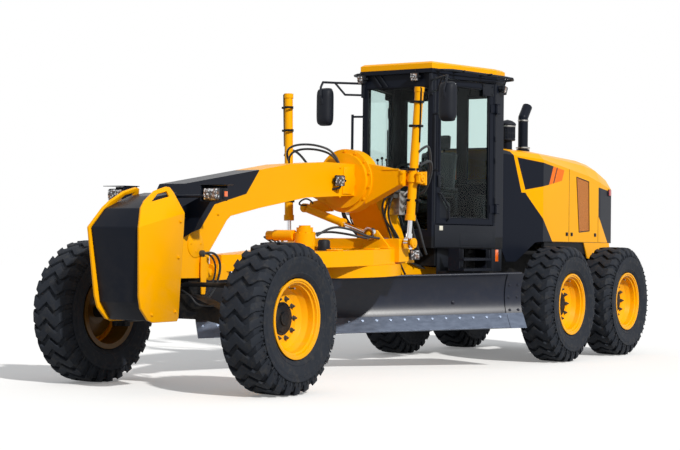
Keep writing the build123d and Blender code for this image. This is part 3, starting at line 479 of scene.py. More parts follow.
def rod(bm, start, end, radius, segments=24, end_radius=None):
    """A round bar, or a cone with another radius at its end."""
    start, end = Vector(start), Vector(end)
    bmesh.ops.create_cone(bm, cap_ends=True, segments=segments, radius1=radius,
                          radius2=radius if end_radius is None else end_radius,
                          depth=(end - start).length, matrix=facing((start + end) / 2, end - start))


def rods(bm, *rows):
    for row in rows:
        rod(bm, *row)


def ball(bm, centre, radius, around, rows):
    bmesh.ops.create_uvsphere(bm, u_segments=around, v_segments=rows, radius=radius,
                              matrix=Matrix.Translation(centre))


def tube(bm, points, radius, segments=16):
    """A bent tube: straight lengths with a ball at each bend."""
    for a, b in zip(points, points[1:]):
        rod(bm, a, b, radius, segments)
    for p in points[1:-1]:
        ball(bm, p, radius, segments, segments // 2)


def new_verts(grown):
    return [e for e in grown["geom"] if isinstance(e, bmesh.types.BMVert)]


def outline_plate(bm, points, push):
    """A flat plate: its outline's points, pushed along a vector."""
    face = bm.faces.new([bm.verts.new(p) for p in points])
    moved = new_verts(bmesh.ops.extrude_face_region(bm, geom=[face]))
    bmesh.ops.translate(bm, verts=moved, vec=Vector(push))


def plate(bm, axis, at, thickness, *outline):
    """A flat plate across an axis, 0 to 2: its outline's other two coordinates, and where it starts."""
    push = [0, 0, 0]
    push[axis] = thickness
    outline_plate(bm, [p[:axis] + (at,) + p[axis:] for p in outline], push)


def turned_shape(bm, profile, centre, axis, segments=48):
    """A turned part: points (along the axis, from the axis), spun about the axis."""
    axis = Vector(axis).normalized()
    side = axis.orthogonal().normalized()
    centre = Vector(centre)
    part = bmesh.new()
    closed = profile[0] == profile[-1]
    verts = [part.verts.new(centre + axis * a + side * r) for a, r in (profile[:-1] if closed else profile)]
    edges = [part.edges.new(pair) for pair in zip(verts, verts[1:] + (verts[:1] if closed else []))]
    bmesh.ops.spin(part, geom=verts + edges, cent=centre, axis=axis, angle=FULL_TURN, steps=segments,
                   use_merge=True)
    bmesh.ops.remove_doubles(part, verts=part.verts, dist=1e-5)
    join(bm, part)


def turned_ring(bm, profile, centre, axis, segments=64):
    """A closed ring: its section, points (along the axis, from the axis), spun about the axis."""
    turned_shape(bm, profile + profile[:1], centre, axis, segments)


def collar(bm, along, half, inner, outer, centre, axis, segments=64):
    """A square ring on an axis, with its middle a distance along it."""
    turned_ring(bm, [(along - half, inner), (along - half, outer), (along + half, outer),
                     (along + half, inner)], centre, axis, segments)


def join(bm, part, *places):
    """Adds a part to a larger piece once for each place, or where it was drawn, and lets go of it."""
    bmesh.ops.recalc_face_normals(part, faces=part.faces)
    single = bpy.data.meshes.new("part")
    part.to_mesh(single)
    part.free()
    for place in places or (Matrix.Identity(4),):
        copy = single.copy()
        copy.transform(place)
        if place.is_negative:
            copy.flip_normals()
        bm.from_mesh(copy)
        bpy.data.meshes.remove(copy)
    bpy.data.meshes.remove(single)


def drawn(*rows):
    """A part from rows, each a shape's function and what it needs."""
    part = bmesh.new()
    for shape, *needs in rows:
        shape(part, *needs)
    return part


def bolt(radius):
    """A hexagonal head on its washer, standing on Z."""
    return drawn((rod, (0, 0, 0), (0, 0, radius * 0.22), radius * 1.45, 16),
                 (rod, (0, 0, radius * 0.2), (0, 0, radius * 0.95), radius, 6, radius * 0.94))


def nut_and_stud(radius):
    """A nut on its washer with the stud's end, standing on Z."""
    return drawn((rod, (0, 0, 0), (0, 0, radius * 0.3), radius * 1.4, 20),
                 (rod, (0, 0, radius * 0.28), (0, 0, radius * 1.35), radius, 6, radius * 0.95),
                 (rod, (0, 0, radius * 1.3), (0, 0, radius * 2.2), radius * 0.55, 12, radius * 0.48))


def bolts(bm, radius, direction, *places):
    """Bolts of one size that all point one way."""
    join(bm, bolt(radius), *[facing(place, direction) for place in places])


def soften(bm, width, steps=2, angle=40):
    """Rounds all edges sharper than an angle."""
    limit = math.radians(angle)
    bevel(bm, [e for e in bm.edges if len(e.link_faces) == 2 and e.calc_face_angle(0) > limit], width, steps)


def ride(name, data, look, body, replaces=None):
    """Makes an object of a mesh or curve, in its finish, that rides on a body."""
    piece = bpy.data.objects.new(name, data)
    bpy.context.scene.collection.objects.link(piece)
    data.materials.append(material(look))
    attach(piece, body)
    if replaces:
        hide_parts(replaces)


def finish_piece(bm, name, look, body="front_frame", smooth=40, slot=None, replaces=None):
    """Turns a bmesh into a piece, smooth up to an angle."""
    bmesh.ops.recalc_face_normals(bm, faces=bm.faces)
    for face in bm.faces:
        face.smooth = True
    for edge in bm.edges:
        if len(edge.link_faces) != 2 or edge.calc_face_angle(0) > math.radians(smooth):
            edge.smooth = False
    mesh = bpy.data.meshes.new(name)
    bm.to_mesh(mesh)
    bm.free()
    ride(name, mesh, look, body, replaces)


def put(name, look, part, places=(STATION,), body="front_frame", smooth=40, **more):
    """Sets a part down at its places and makes a piece of it."""
    bm = bmesh.new()
    join(bm, part, *places)
    finish_piece(bm, name, look, body, smooth, **more)


def hose(name, points, radius, body):
    """A hose held at both ends, on one smooth line."""
    curve = bpy.data.curves.new(name, "CURVE")
    curve.dimensions = "3D"
    curve.bevel_depth = radius
    curve.bevel_resolution = 3
    curve.resolution_u = 8
    curve.use_fill_caps = True
    line = curve.splines.new("NURBS")
    line.points.add(len(points) - 1)
    for point, place in zip(line.points, points):
        point.co = tuple(place) + (1.0,)
    line.order_u = 3
    line.use_endpoint_u = True
    ride(name, curve, "hose_rubber", body)


# ---------------------------------------------------------------- sizes a user may change

def length(name, description, default):
    return bpy.props.FloatProperty(name=name, description=description, default=default, unit="LENGTH")


class GraderWheels(bpy.types.PropertyGroup):
    tyre_radius: length("Tyre radius", "Outer radius over the lugs", 0.674)
    tyre_width: length("Tyre width", "Width of the tyre's section", 0.445)
    lug_depth: length("Lug depth", "Height of a lug over the casing", 0.028)
    lugs: bpy.props.IntProperty(name="Lugs", description="Lugs round one tyre", default=28, min=12)
    bolts: bpy.props.IntProperty(name="Wheel bolts", description="Bolts in each rim", default=10, min=4)


class GraderStage(bpy.types.PropertyGroup):
    floor_colour: bpy.props.FloatVectorProperty(name="Floor", description="Colour of the plain floor",
                                                subtype="COLOR", default=(0.93, 0.93, 0.93))
    bounce: bpy.props.FloatProperty(name="Bounce", description="Light the floor throws back up, 0 to 1",
                                    default=0.35, min=0.0, max=1.0)
    lift: bpy.props.FloatProperty(name="Lift", description="Extra brightness of the floor as the eye sees it",
                                  default=0.18)
    sky: bpy.props.FloatProperty(name="Sky", description="Strength of the soft light all round", default=0.4)
    key: bpy.props.FloatProperty(name="Key", description="Strength of the sun", default=3.3)


# ---------------------------------------------------------------- pieces


NODE_LOOKS = {
    "frame_paint": "front_frame",
    "hood_paint": "hood",
    "shroud_paint": "side_shrouds",
    "amber_paint": "front_guards saddle cab_roof drawbar circle circle_drive lift_barrel_left "
                   "lift_barrel_right shift_barrel",
    "wheel_paint": " ".join("rim_" + name for name in WHEELS),
    "charcoal_paint": "front_panel headlamps cab_frame tail_panel exhaust precleaner door_left door_right "
                      "mirrors steps",
    "chassis_paint": "front_axle cab_floor rear_frame rear_axle tandem_cases lean_bar tie_rod tie_rod_end "
                     "knuckle_left knuckle_right lean_bracket_left lean_bracket_right",
    "cab_glass": "cab_glass door_glass_left door_glass_right",
    "blade_paint": "moldboard blade_carrier",
    "edge_steel": "cutting_edge",
    "chrome": "lift_rod_left lift_rod_right shift_rod",
    "cab_plastic": "console",
    "seat_cloth": "seat",
    "engine_iron": "engine_block",
    "vent_mesh": "side_vents",
}


class GRADER_OT_paint(bpy.types.Operator):
    """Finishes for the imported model's own nodes"""
    bl_idname = "grader.paint"
    bl_label = "Paint"

    def execute(self, context):
        for look, names in NODE_LOOKS.items():
            for name in names.split():
                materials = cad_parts[name].data.materials
                materials.clear()
                materials.append(material(look))
        return {"FINISHED"}


def carcass_radius(x, size):
    """Radius of the tread's outer face at x from the tyre's middle plane."""
    u = min(abs(x) / (size.tyre_width / 2), 1.0)
    return size.tyre_radius - 0.010 * u ** 2 - 0.150 * max(0.0, u - 0.74) ** 1.7 / 0.26 ** 1.7


LUG_WAYS = [(-1.0, -0.10), (-0.56, 0.50), (-0.44, 0.56), (0.0, -0.02), (0.44, 0.56), (0.56, 0.50), (1.0, -0.10)]


def lug_lead(u):
    """How far a lug runs ahead, in pitches, at a share of the half width."""
    for (u0, a0), (u1, a1) in zip(LUG_WAYS, LUG_WAYS[1:]):
        if u <= u1:
            return a0 + (a1 - a0) * (u - u0) / (u1 - u0)
    return LUG_WAYS[-1][1]


def add_lug(bm, size):
    """One chevron lug across the tread and down both shoulders, at the top of a tyre about X."""
    pitch = FULL_TURN / size.lugs
    rows = []
    for u in sorted({-1 + i / 7 for i in range(15)} | {-0.56, -0.44, 0.44, 0.56}):
        x = u * size.tyre_width / 2
        r = carcass_radius(x, size)
        width = pitch * (0.33 - 0.05 * abs(u))
        turns = [lug_lead(u) * pitch + w for w in (-width, width)]
        rows.append([bm.verts.new((x, -r * math.sin(turn), r * math.cos(turn))) for turn in turns])
    faces = [bm.faces.new((a[0], a[1], b[1], b[0])) for a, b in zip(rows, rows[1:])]
    for v in new_verts(bmesh.ops.extrude_face_region(bm, geom=faces)):
        v.co -= Vector((0, v.co.y, v.co.z)).normalized() * (size.lug_depth + 0.004)
        v.co.x *= 0.955


def make_tyre(size):
    """A lugged tyre about the X axis at the origin."""
    half = size.tyre_width / 2
    bm = bmesh.new()
    tread = [(u * half * 0.96, carcass_radius(u * half, size) - size.lug_depth) for u in
             (-1.0, -0.92, -0.8, -0.6, -0.3, 0.0, 0.3, 0.6, 0.8, 0.92, 1.0)]
    wall = [(half * share, r) for share, r in (
        (0.985, 0.552), (1.0, 0.545), (1.0, 0.532), (0.99, 0.524), (0.985, 0.515), (1.0, 0.5), (1.0, 0.492),
        (0.985, 0.484), (0.965, 0.43), (0.935, 0.412), (0.945, 0.404), (0.9, 0.385), (0.8, 0.362))]
    turned_ring(bm, tread + wall + [(-a, r) for a, r in reversed(wall)], (0, 0, 0), X_AXIS, 96)
    lug = bmesh.new()
    add_lug(lug, size)
    bmesh.ops.recalc_face_normals(lug, faces=lug.faces)
    soften(lug, 0.006, 2, 50)
    join(bm, lug, *turned_places(size.lugs, "X"))
    rib = drawn((block, half * 0.955, -0.006, 0.556, half * 0.998, 0.006, 0.585, 0.003, 1))
    join(bm, rib, *[place for turn in turned_places(size.lugs * 2, "X") for place in both_sides(turn)])
    return bm


class GRADER_OT_tyres(bpy.types.Operator):
    """Six lugged tyres with ribbed sidewalls"""
    bl_idname = "grader.tyres"
    bl_label = "Tyres"

    def execute(self, context):
        scene = context.scene
        for name, (side, y) in WHEELS.items():
            bm = make_tyre(scene.grader_wheels)
            bmesh.ops.translate(bm, verts=bm.verts, vec=spot(side * TRACK_HALF, y, WHEEL_Z))
            finish_piece(bm, "tyre_shape_" + name, "rubber", "wheel_" + name, 30, replaces="tyre_" + name)
        return {"FINISHED"}


class GRADER_OT_wheel_fittings(bpy.types.Operator):
    """Nuts, planetary covers and valves in the rims"""
    bl_idname = "grader.wheel_fittings"
    bl_label = "Wheel fittings"

    def execute(self, context):
        scene = context.scene
        for name, (side, y) in WHEELS.items():
            centre, out, wheel = spot(side * TRACK_HALF, y, WHEEL_Z), Vector((side, 0, 0)), "wheel_" + name

            def around(count, start, along, radius):
                return [Matrix.Translation(centre) @ turn @ facing((side * along, 0, radius), out)
                        for turn in turned_places(count, "X", start)]

            put("wheel_nuts_" + name, "engine_iron", nut_and_stud(0.017),
                around(scene.grader_wheels.bolts, 0.5, 0.02, 0.18), wheel, 30)
            bm = bmesh.new()
            cap = [(0.018, 0.0), (0.018, 0.146), (0.026, 0.146), (0.03, 0.142), (0.03, 0.124), (0.038, 0.118),
                   (0.044, 0.086), (0.044, 0.046), (0.062, 0.04), (0.066, 0.0)]
            turned_shape(bm, cap, centre, out)
            join(bm, bolt(0.007), *around(8, 0, 0.03, 0.134))
            finish_piece(bm, "wheel_hub_" + name, "chassis_paint", wheel, 30)
            stem = centre + Vector((side * 0.095, 0.0, 0.268))
            valve = drawn((rod, stem + Vector((0, 0, 0.024)), stem, 0.007, 16),
                          (rod, stem, stem + out * 0.045, 0.006, 16),
                          (rod, stem + out * 0.045, stem + out * 0.062, 0.008, 16))
            finish_piece(valve, "wheel_valve_" + name, "bolt_steel", wheel, 30, "chrome_rod")
        return {"FINISHED"}


class GRADER_OT_front_lamps(bpy.types.Operator):
    """Headlamps on their sheet brackets, with side markers"""
    bl_idname = "grader.front_lamps"
    bl_label = "Front lamps"

    def execute(self, context):
        part = drawn((block, 0.462, -0.322, 1.706, 0.652, -0.222, 1.822, 0.012),
                     (block, 0.64, -0.3, 1.722, 0.668, -0.232, 1.806, 0.008))
        put("lamp_housings", "lamp_plastic", part, both_sides(), replaces="headlamps")
        part = drawn(
            (outline_plate, [(0.43, -0.345, 1.842), (0.694, -0.345, 1.842), (0.694, -0.18, 1.846),
                             (0.46, -0.1, 1.846), (0.43, -0.14, 1.846)], (0, 0, 0.006)),
            (outline_plate, [(0.44, -0.345, 1.846), (0.44, -0.345, 1.7), (0.446, -0.225, 1.7),
                             (0.446, -0.14, 1.846)], (0.008, 0, 0)),
            (plate, 1, -0.222, 0.008, (0.153, 1.372), (0.285, 1.44), (0.33, 1.52), (0.46, 1.7), (0.648, 1.704),
             (0.648, 1.842), (0.43, 1.842), (0.395, 1.765), (0.153, 1.66)),
            (rod, (0, -0.334, 1.745), (0.47, -0.334, 1.745), 0.014))
        soften(part, 0.003, 1)
        put("lamp_brackets", "charcoal_paint", part, both_sides())
        part = drawn((block, 0.47, -0.336, 1.714, 0.644, -0.318, 1.814, 0.008))
        for x in (0.513, 0.601):
            turned_ring(part, [(0.335, 0.028), (0.335, 0.038), (0.341, 0.036), (0.341, 0.031)],
                        (x, 0, 1.764), (0, -1, 0), 32)
            rod(part, (x, -0.335, 1.764), (x, -0.344, 1.764), 0.014, 24, 0.009)
        put("lamp_lenses", "lamp_lens", part, both_sides())
        put("lamp_side_markers", "marker_lens", drawn((block, 0.664, -0.288, 1.74, 0.674, -0.244, 1.788, 0.004)),
            both_sides())
        return {"FINISHED"}


def work_lamp(housings, lenses, place, size=0.055):
    """A square work lamp facing along Z at a place: finned housing, lens and stirrup."""
    part = drawn((block, -size, -size, -0.045, size, size, 0.0, 0.012))
    for i in range(5):
        x = (i - 2) * size * 0.36
        box(part, (x - 0.003, -size * 0.8, -0.062), (x + 0.003, size * 0.8, -0.04))
    for sign in (-1, 1):
        near, far = sign * (size + 0.004), sign * (size + 0.010)
        block(part, near, -0.012, -0.04, far, 0.012, -0.01, 0.002, 1)
        rod(part, (sign * (size - 0.01), 0, -0.022), (sign * (size + 0.016), 0, -0.022), 0.008, 12)
        block(part, near, -0.012, -0.075, far, 0.012, -0.02, 0.002, 1)
    block(part, -size - 0.01, -0.012, -0.075, size + 0.01, 0.012, -0.068, 0.002, 1)
    join(housings, part, place)
    glass = size * 0.86
    part = drawn((block, -glass, -glass, -0.004, glass, glass, 0.006, 0.005))
    for i in range(9):
        x, y = (i // 3 - 1) * size * 0.52, (i % 3 - 1) * size * 0.52
        rod(part, (x, y, 0.005), (x, y, 0.01), size * 0.2, 20, size * 0.13)
    join(lenses, part, place)


def work_lamps(rows, *brackets):
    """Housings, with the rods that hold them, and lenses: rows of place, direction and half size."""
    housings, lenses = bmesh.new(), bmesh.new()
    for place, direction, *size in rows:
        work_lamp(housings, lenses, facing(place, direction), *size)
    rods(housings, *brackets)
    return housings, lenses


class GRADER_OT_gooseneck(bpy.types.Operator):
    """Lamps, covers, bolts and hose blocks along the front frame"""
    bl_idname = "grader.gooseneck"
    bl_label = "Gooseneck fittings"

    def execute(self, context):
        housings, lenses = work_lamps([((0.235, 2.235, 1.985), (0.72, -0.66, -0.2))],
                                      ((0.15, 2.22, 1.9), (0.215, 2.27, 1.92), 0.011, 16),
                                      ((0.215, 2.27, 1.92), (0.2, 2.275, 1.985), 0.011, 16))
        put("gooseneck_lamp_housings", "lamp_plastic", housings, both_sides())
        put("gooseneck_lamp_lenses", "lamp_lens", lenses, both_sides())

        part = drawn((plate, 0, 0.168, 0.014, (0.02, 1.205), (0.1, 1.205), (0.106, 1.06), (0.084, 0.86),
                      (0.032, 0.86), (0.016, 1.06)),
                     (block, 0.14, 0.03, 1.15, 0.17, 0.09, 1.195, 0.004))
        soften(part, 0.003, 1)
        put("axle_stops", "amber_paint", part, both_sides(), smooth=30)

        part = bmesh.new()
        bolts(part, 0.011, X_AXIS, *[(0.15, y, z) for y, z in (
            (-0.1, 1.326), (0.046, 1.325), (-0.028, 1.255), (0.3, 1.6), (2.3, 1.89), (2.36, 1.83), (2.36, 2.13))])
        put("gooseneck_bolts", "amber_paint", part, both_sides(), smooth=30)

        part = drawn(
            (rod, (0.15, -0.03, 1.31), (0.156, -0.03, 1.31), 0.115, 48),
            (plate, 0, 0.15, 0.012, (2.4, 1.86), (2.43, 2.14), (2.58, 2.15), (2.66, 2.0), (2.58, 1.86)),
            (plate, 0, 0.2, 0.012, (3.1, 1.7), (3.2, 1.78), (3.64, 1.12), (3.56, 1.05)))
        soften(part, 0.004)
        put("gooseneck_plates", "amber_paint", part, both_sides())

        part = drawn((rod, (0.15, 0.045, 1.235), (0.185, 0.045, 1.235), 0.03, 24),
                     (rod, (0.185, 0.045, 1.235), (0.2, 0.045, 1.235), 0.018, 6),
                     (block, 0.25, 3.13, 1.9, 0.35, 3.25, 1.98, 0.008),
                     (block, -0.25, 3.13, 1.9, -0.35, 3.25, 1.98, 0.008),
                     (block, 0.2, 3.16, 1.84, 0.32, 3.24, 1.9, 0.006),
                     (block, -0.34, 3.16, 1.84, -0.22, 3.24, 1.9, 0.006))
        put("hose_manifolds", "engine_iron", part)
        return {"FINISHED"}


class GRADER_OT_hydraulics(bpy.types.Operator):
    """Hoses, pipes and unions of the blade's hydraulics"""
    bl_idname = "grader.hydraulics"
    bl_label = "Hydraulic lines"

    def execute(self, context):
        low, top = Vector((0.763, 2.772, 1.62)), Vector((0.799, 2.769, 2.96))
        along = (top - low).normalized()
        off = Vector((0.068, 0.012, 0))
        second = off + Vector((0, 0.028, 0))
        for name, place in zip(("left", "right"), both_sides()):
            points = [top + along * 0.01 + off * 0.6, top + off, top - along * 0.35 + off, low + along * 0.78 + off]
            part = drawn(*[(rod, a, b, 0.009, 16) for a, b in zip(points, points[1:])],
                         (rod, low + along * 0.06 + second * 0.8, low + along * 0.58 + second, 0.009, 16))
            for t in (0.18, 0.5, 0.95, 1.2):
                band = low + along * t
                collar(part, 0, 0.012, 0.047, 0.053, band, along, 32)
                block(part, *(band + Vector((0.048, -0.012, -0.012))), *(band + Vector((0.086, 0.052, 0.012))), 0.003, 1)
            put("lift_pipes_" + name, "chassis_paint", part, (place,), "lift_barrel_" + name)

            part = bmesh.new()
            for n, z in enumerate((1.7, 1.78, 1.86)):
                port = Vector((0.335, 3.3 + n * 0.02, z))
                rods(part, (port, port + Vector((0.075, -0.03, 0.05)), 0.02, 6),
                     (port + Vector((0.07, -0.028, 0.046)), port + Vector((0.13, -0.05, 0.085)), 0.015, 16))
            block(part, 0.2, 3.24, 1.66, 0.345, 3.36, 1.92, 0.01)
            put("valve_block_" + name, "bolt_steel", part, (place,))
        return {"FINISHED"}


HOSES = (   # name, body, radius, mirrored too, points behind the front axle
    ("lift_hose_upper", "front_frame", 0.013, True, (0.845, 2.78, 2.3), (0.875, 2.86, 2.37),
     (0.84, 3.02, 2.36), (0.76, 3.18, 2.16), (0.62, 3.3, 1.98), (0.465, 3.26, 1.945)),
    ("lift_hose_lower", "front_frame", 0.013, True, (0.845, 2.8, 2.16), (0.88, 2.9, 2.22),
     (0.85, 3.06, 2.2), (0.74, 3.2, 2.02), (0.6, 3.3, 1.88), (0.465, 3.28, 1.865)),
    ("leg_hose_a", "front_frame", 0.012, True, (0.26, 3.16, 1.9), (0.25, 3.02, 1.8), (0.245, 3.08, 1.62),
     (0.235, 3.3, 1.48), (0.225, 3.52, 1.22), (0.22, 3.72, 1.14), (0.205, 3.95, 1.09)),
    ("leg_hose_b", "front_frame", 0.012, True, (0.29, 3.18, 1.86), (0.3, 3.06, 1.72), (0.275, 3.16, 1.56),
     (0.25, 3.38, 1.42), (0.235, 3.58, 1.18), (0.23, 3.8, 1.12), (0.215, 4.0, 1.085)),
    ("leg_hose_c", "front_frame", 0.009, True, (0.24, 3.2, 1.84), (0.22, 3.1, 1.66), (0.215, 3.24, 1.5),
     (0.21, 3.46, 1.16), (0.21, 3.6, 1.02)),
    ("saddle_hose_a", "front_frame", 0.012, False, (-0.02, 2.6, 2.185), (-0.06, 2.58, 2.31),
     (-0.22, 2.46, 2.385), (-0.46, 2.42, 2.39), (-0.66, 2.52, 2.33), (-0.74, 2.7, 2.24)),
    ("saddle_hose_b", "front_frame", 0.012, False, (-0.05, 2.64, 2.185), (-0.1, 2.62, 2.28),
     (-0.24, 2.52, 2.34), (-0.46, 2.48, 2.345), (-0.66, 2.57, 2.28), (-0.74, 2.72, 2.18)),
    ("nose_hose_a", "front_frame", 0.011, True, (0.19, 0.045, 1.235), (0.24, 0.12, 1.26),
     (0.25, 0.22, 1.16), (0.22, 0.24, 1.02), (0.17, 0.2, 0.86), (0.12, 0.14, 0.78)),
    ("nose_hose_b", "front_frame", 0.009, True, (0.19, 0.05, 1.235), (0.22, 0.1, 1.235),
     (0.225, 0.18, 1.14), (0.2, 0.2, 1.02), (0.15, 0.17, 0.88), (0.1, 0.12, 0.79)),
    ("nose_hose_c", "front_frame", 0.008, True, (0.09, -0.14, 0.9), (0.2, -0.16, 0.86),
     (0.26, -0.15, 0.78), (0.34, -0.13, 0.765), (0.44, -0.12, 0.77)),
    ("shift_hose_a", "front_frame", 0.009, False, (-0.32, 2.56, 1.77), (-0.3, 2.44, 1.83),
     (-0.36, 2.36, 1.78), (-0.42, 2.46, 1.74), (-0.4, 2.56, 1.75)),
    ("cross_hose_a", "drawbar", 0.012, False, (0.1, 2.02, 1.42), (0.16, 2.16, 1.52), (0.28, 2.36, 1.5),
     (0.42, 2.56, 1.4), (0.52, 2.72, 1.4)),
    ("cross_hose_b", "drawbar", 0.012, False, (-0.02, 2.04, 1.42), (0.06, 2.18, 1.47), (0.2, 2.4, 1.45),
     (0.38, 2.62, 1.39), (0.48, 2.74, 1.39)),
    ("drive_hose_a", "drawbar", 0.01, False, (-0.34, 1.95, 1.37), (-0.46, 1.96, 1.44), (-0.5, 2.1, 1.4),
     (-0.44, 2.24, 1.3), (-0.4, 2.34, 1.27)),
    ("drive_hose_b", "drawbar", 0.01, False, (-0.33, 1.9, 1.36), (-0.5, 1.9, 1.42), (-0.55, 2.06, 1.38),
     (-0.48, 2.22, 1.29), (-0.44, 2.34, 1.27)),
    ("cab_hose_a", "front_frame", 0.014, True, (0.36, 3.69, 1.22), (0.36, 3.6, 1.3), (0.34, 3.56, 1.44),
     (0.33, 3.5, 1.6), (0.32, 3.38, 1.68)),
    ("cab_hose_b", "front_frame", 0.014, True, (0.42, 3.69, 1.24), (0.42, 3.62, 1.34), (0.4, 3.58, 1.5),
     (0.37, 3.5, 1.68), (0.33, 3.38, 1.74)),
)


class GRADER_OT_hoses(bpy.types.Operator):
    """Hoses between the valve blocks, the cylinders and the circle drive"""
    bl_idname = "grader.hoses"
    bl_label = "Hoses"

    def execute(self, context):
        for name, body, radius, twin, *points in HOSES:
            hose(name, [spot(*p) for p in points], radius, body)
            if twin:
                hose(name + "_twin", [spot(-x, y, z) for x, y, z in points], radius, body)
        return {"FINISHED"}


class GRADER_OT_saddle_fittings(bpy.types.Operator):
    """Flange bolts, trunnion caps and keeper plates of the saddle"""
    bl_idname = "grader.saddle_fittings"
    bl_label = "Saddle fittings"

    def execute(self, context):
        bm, part = bmesh.new(), bmesh.new()
        for i in range(14):
            turn = FULL_TURN * (i + 0.5) / 14
            x, z = 0.312 * math.cos(turn), 2.009 + 0.312 * math.sin(turn)
            if abs(x) > 0.165 or z > 2.19:     # elsewhere the gooseneck's box covers the flange
                for sign in (-1, 1):
                    bolts(bm, 0.012, (0, sign, 0), spot(x, 2.76 + sign * 0.085, z))
        for dz in (-0.055, 0.055):
            bolts(part, 0.014, (0, -1, 0), (0.7, 2.685, 2.03 + dz))
            bolts(part, 0.012, (0, -1, 0), (0.872, 2.715, 2.03 + dz * 0.8))
            bolts(part, 0.012, X_AXIS, *[(0.888, y, 2.03 + dz * 0.8) for y in (2.733, 2.817)])
        join(bm, part, *both_sides())
        finish_piece(bm, "saddle_bolts", "amber_paint", smooth=30)
        caps = drawn((rod, (0.888, 2.775, 2.03), (0.902, 2.775, 2.03), 0.034, 32),
                     (rod, (0.902, 2.775, 2.03), (0.912, 2.775, 2.03), 0.01, 6),
                     (block, 0.46, 2.688, 2.112, 0.66, 2.696, 2.128, 0.002, 1))
        put("saddle_caps", "amber_paint", caps, both_sides(), smooth=30)
        return {"FINISHED"}


class GRADER_OT_drawbar_fittings(bpy.types.Operator):
    """Circle drive motor, wear plates, caps and the blade's work lamps"""
    bl_idname = "grader.drawbar_fittings"
    bl_label = "Drawbar fittings"

    def execute(self, context):
        part = drawn((block, -0.2, 2.28, 1.22, -0.52, 2.4, 1.29, 0.01),
                     (rod, (-0.3, 1.9, 1.37), (-0.42, 1.9, 1.37), 0.045, 32),
                     (rod, (0, 1.96, 1.44), (0, 1.96, 1.47), 0.06, 32))
        for out, y in ((0.56, 2.35), (0.56, 2.62), (0.43, 1.86)):
            for x in (-out, out):
                block(part, x - 0.07, y - 0.05, 1.22, x + 0.07, y + 0.05, 1.236, 0.004, 1)
        for turn in turned_places(8, "Z"):
            x, y, z = turn @ Vector((0.097, 0, 1.39))
            rod(part, (x, 1.96 + y, z), (x, 1.96 + y, z + 0.014), 0.01, 6)
        put("drawbar_plates", "amber_paint", part, (GROUP,), "drawbar")

        part = drawn((turned_shape, [(0.0, 0.0), (0.0, 0.062), (0.075, 0.062), (0.092, 0.05), (0.098, 0.0)],
                      (0.3, 1.86, 1.236), Z_AXIS),
                     (rod, (0.3, 1.86, 1.22), (0.3, 1.86, 1.245), 0.072, 32),
                     *[(rod, (x, 2.43, 1.255), (x, 2.47, 1.255), 0.016, 6) for x in (-0.6, -0.5, -0.4)])
        put("drawbar_reservoir", "lamp_plastic", part, (GROUP,), "drawbar")
        part = bmesh.new()
        bolts(part, 0.012, Z_AXIS, *[(x, 2.93, 1.22) for x in (-0.5, -0.25, 0.0, 0.25, 0.5)])
        put("drawbar_bolts", "amber_paint", part, (GROUP,), "drawbar", 30)
        caps = drawn(*[(rod, GROUP @ Vector((side * 0.8, 2.757, 1.275)), GROUP @ Vector((side * 0.826, 2.757, 1.275)),
                        0.052, 32) for side in (1, -1)])
        finish_piece(caps, "lift_pin_caps", "amber_paint", "drawbar", 30)

        housings, lenses = work_lamps([((0.735, 2.915, 1.235), (0.62, -0.74, -0.15))],
                                      ((0.66, 2.85, 1.22), (0.7, 2.965, 1.235), 0.012, 16),
                                      ((0.66, 2.84, 1.22), (0.66, 2.86, 1.22), 0.03, 16))
        put("drawbar_lamp_housings", "lamp_plastic", housings, both_sides(), "drawbar")
        put("drawbar_lamp_lenses", "lamp_lens", lenses, both_sides(), "drawbar")

        tooth = drawn((plate, 2, 0.95, 0.09, (0.572, -0.017), (0.572, 0.017), (0.543, 0.008), (0.543, -0.008)))
        centre = GROUP @ Matrix.Translation((0, CIRCLE_Y, 0))
        put("circle_teeth", "bolt_steel", tooth, [centre @ turn for turn in turned_places(72, "Z")], "circle", 30,
            slot="edge_steel")
        return {"FINISHED"}


def face_depth(z):
    """How far behind the circle's centre the mouldboard's front face lies at a height, before the yaw."""
    radius, middle = 0.3863636, 0.640
    return 0.200 + math.sqrt(radius ** 2 - (z - middle) ** 2) - 0.2763636


def edge_depth(z):
    """The same for the front of the cutting edge, which leans on the foot of the face."""
    slope = (face_depth(0.460) - 0.200) / 0.090
    return 0.180 + slope * (z - 0.370)


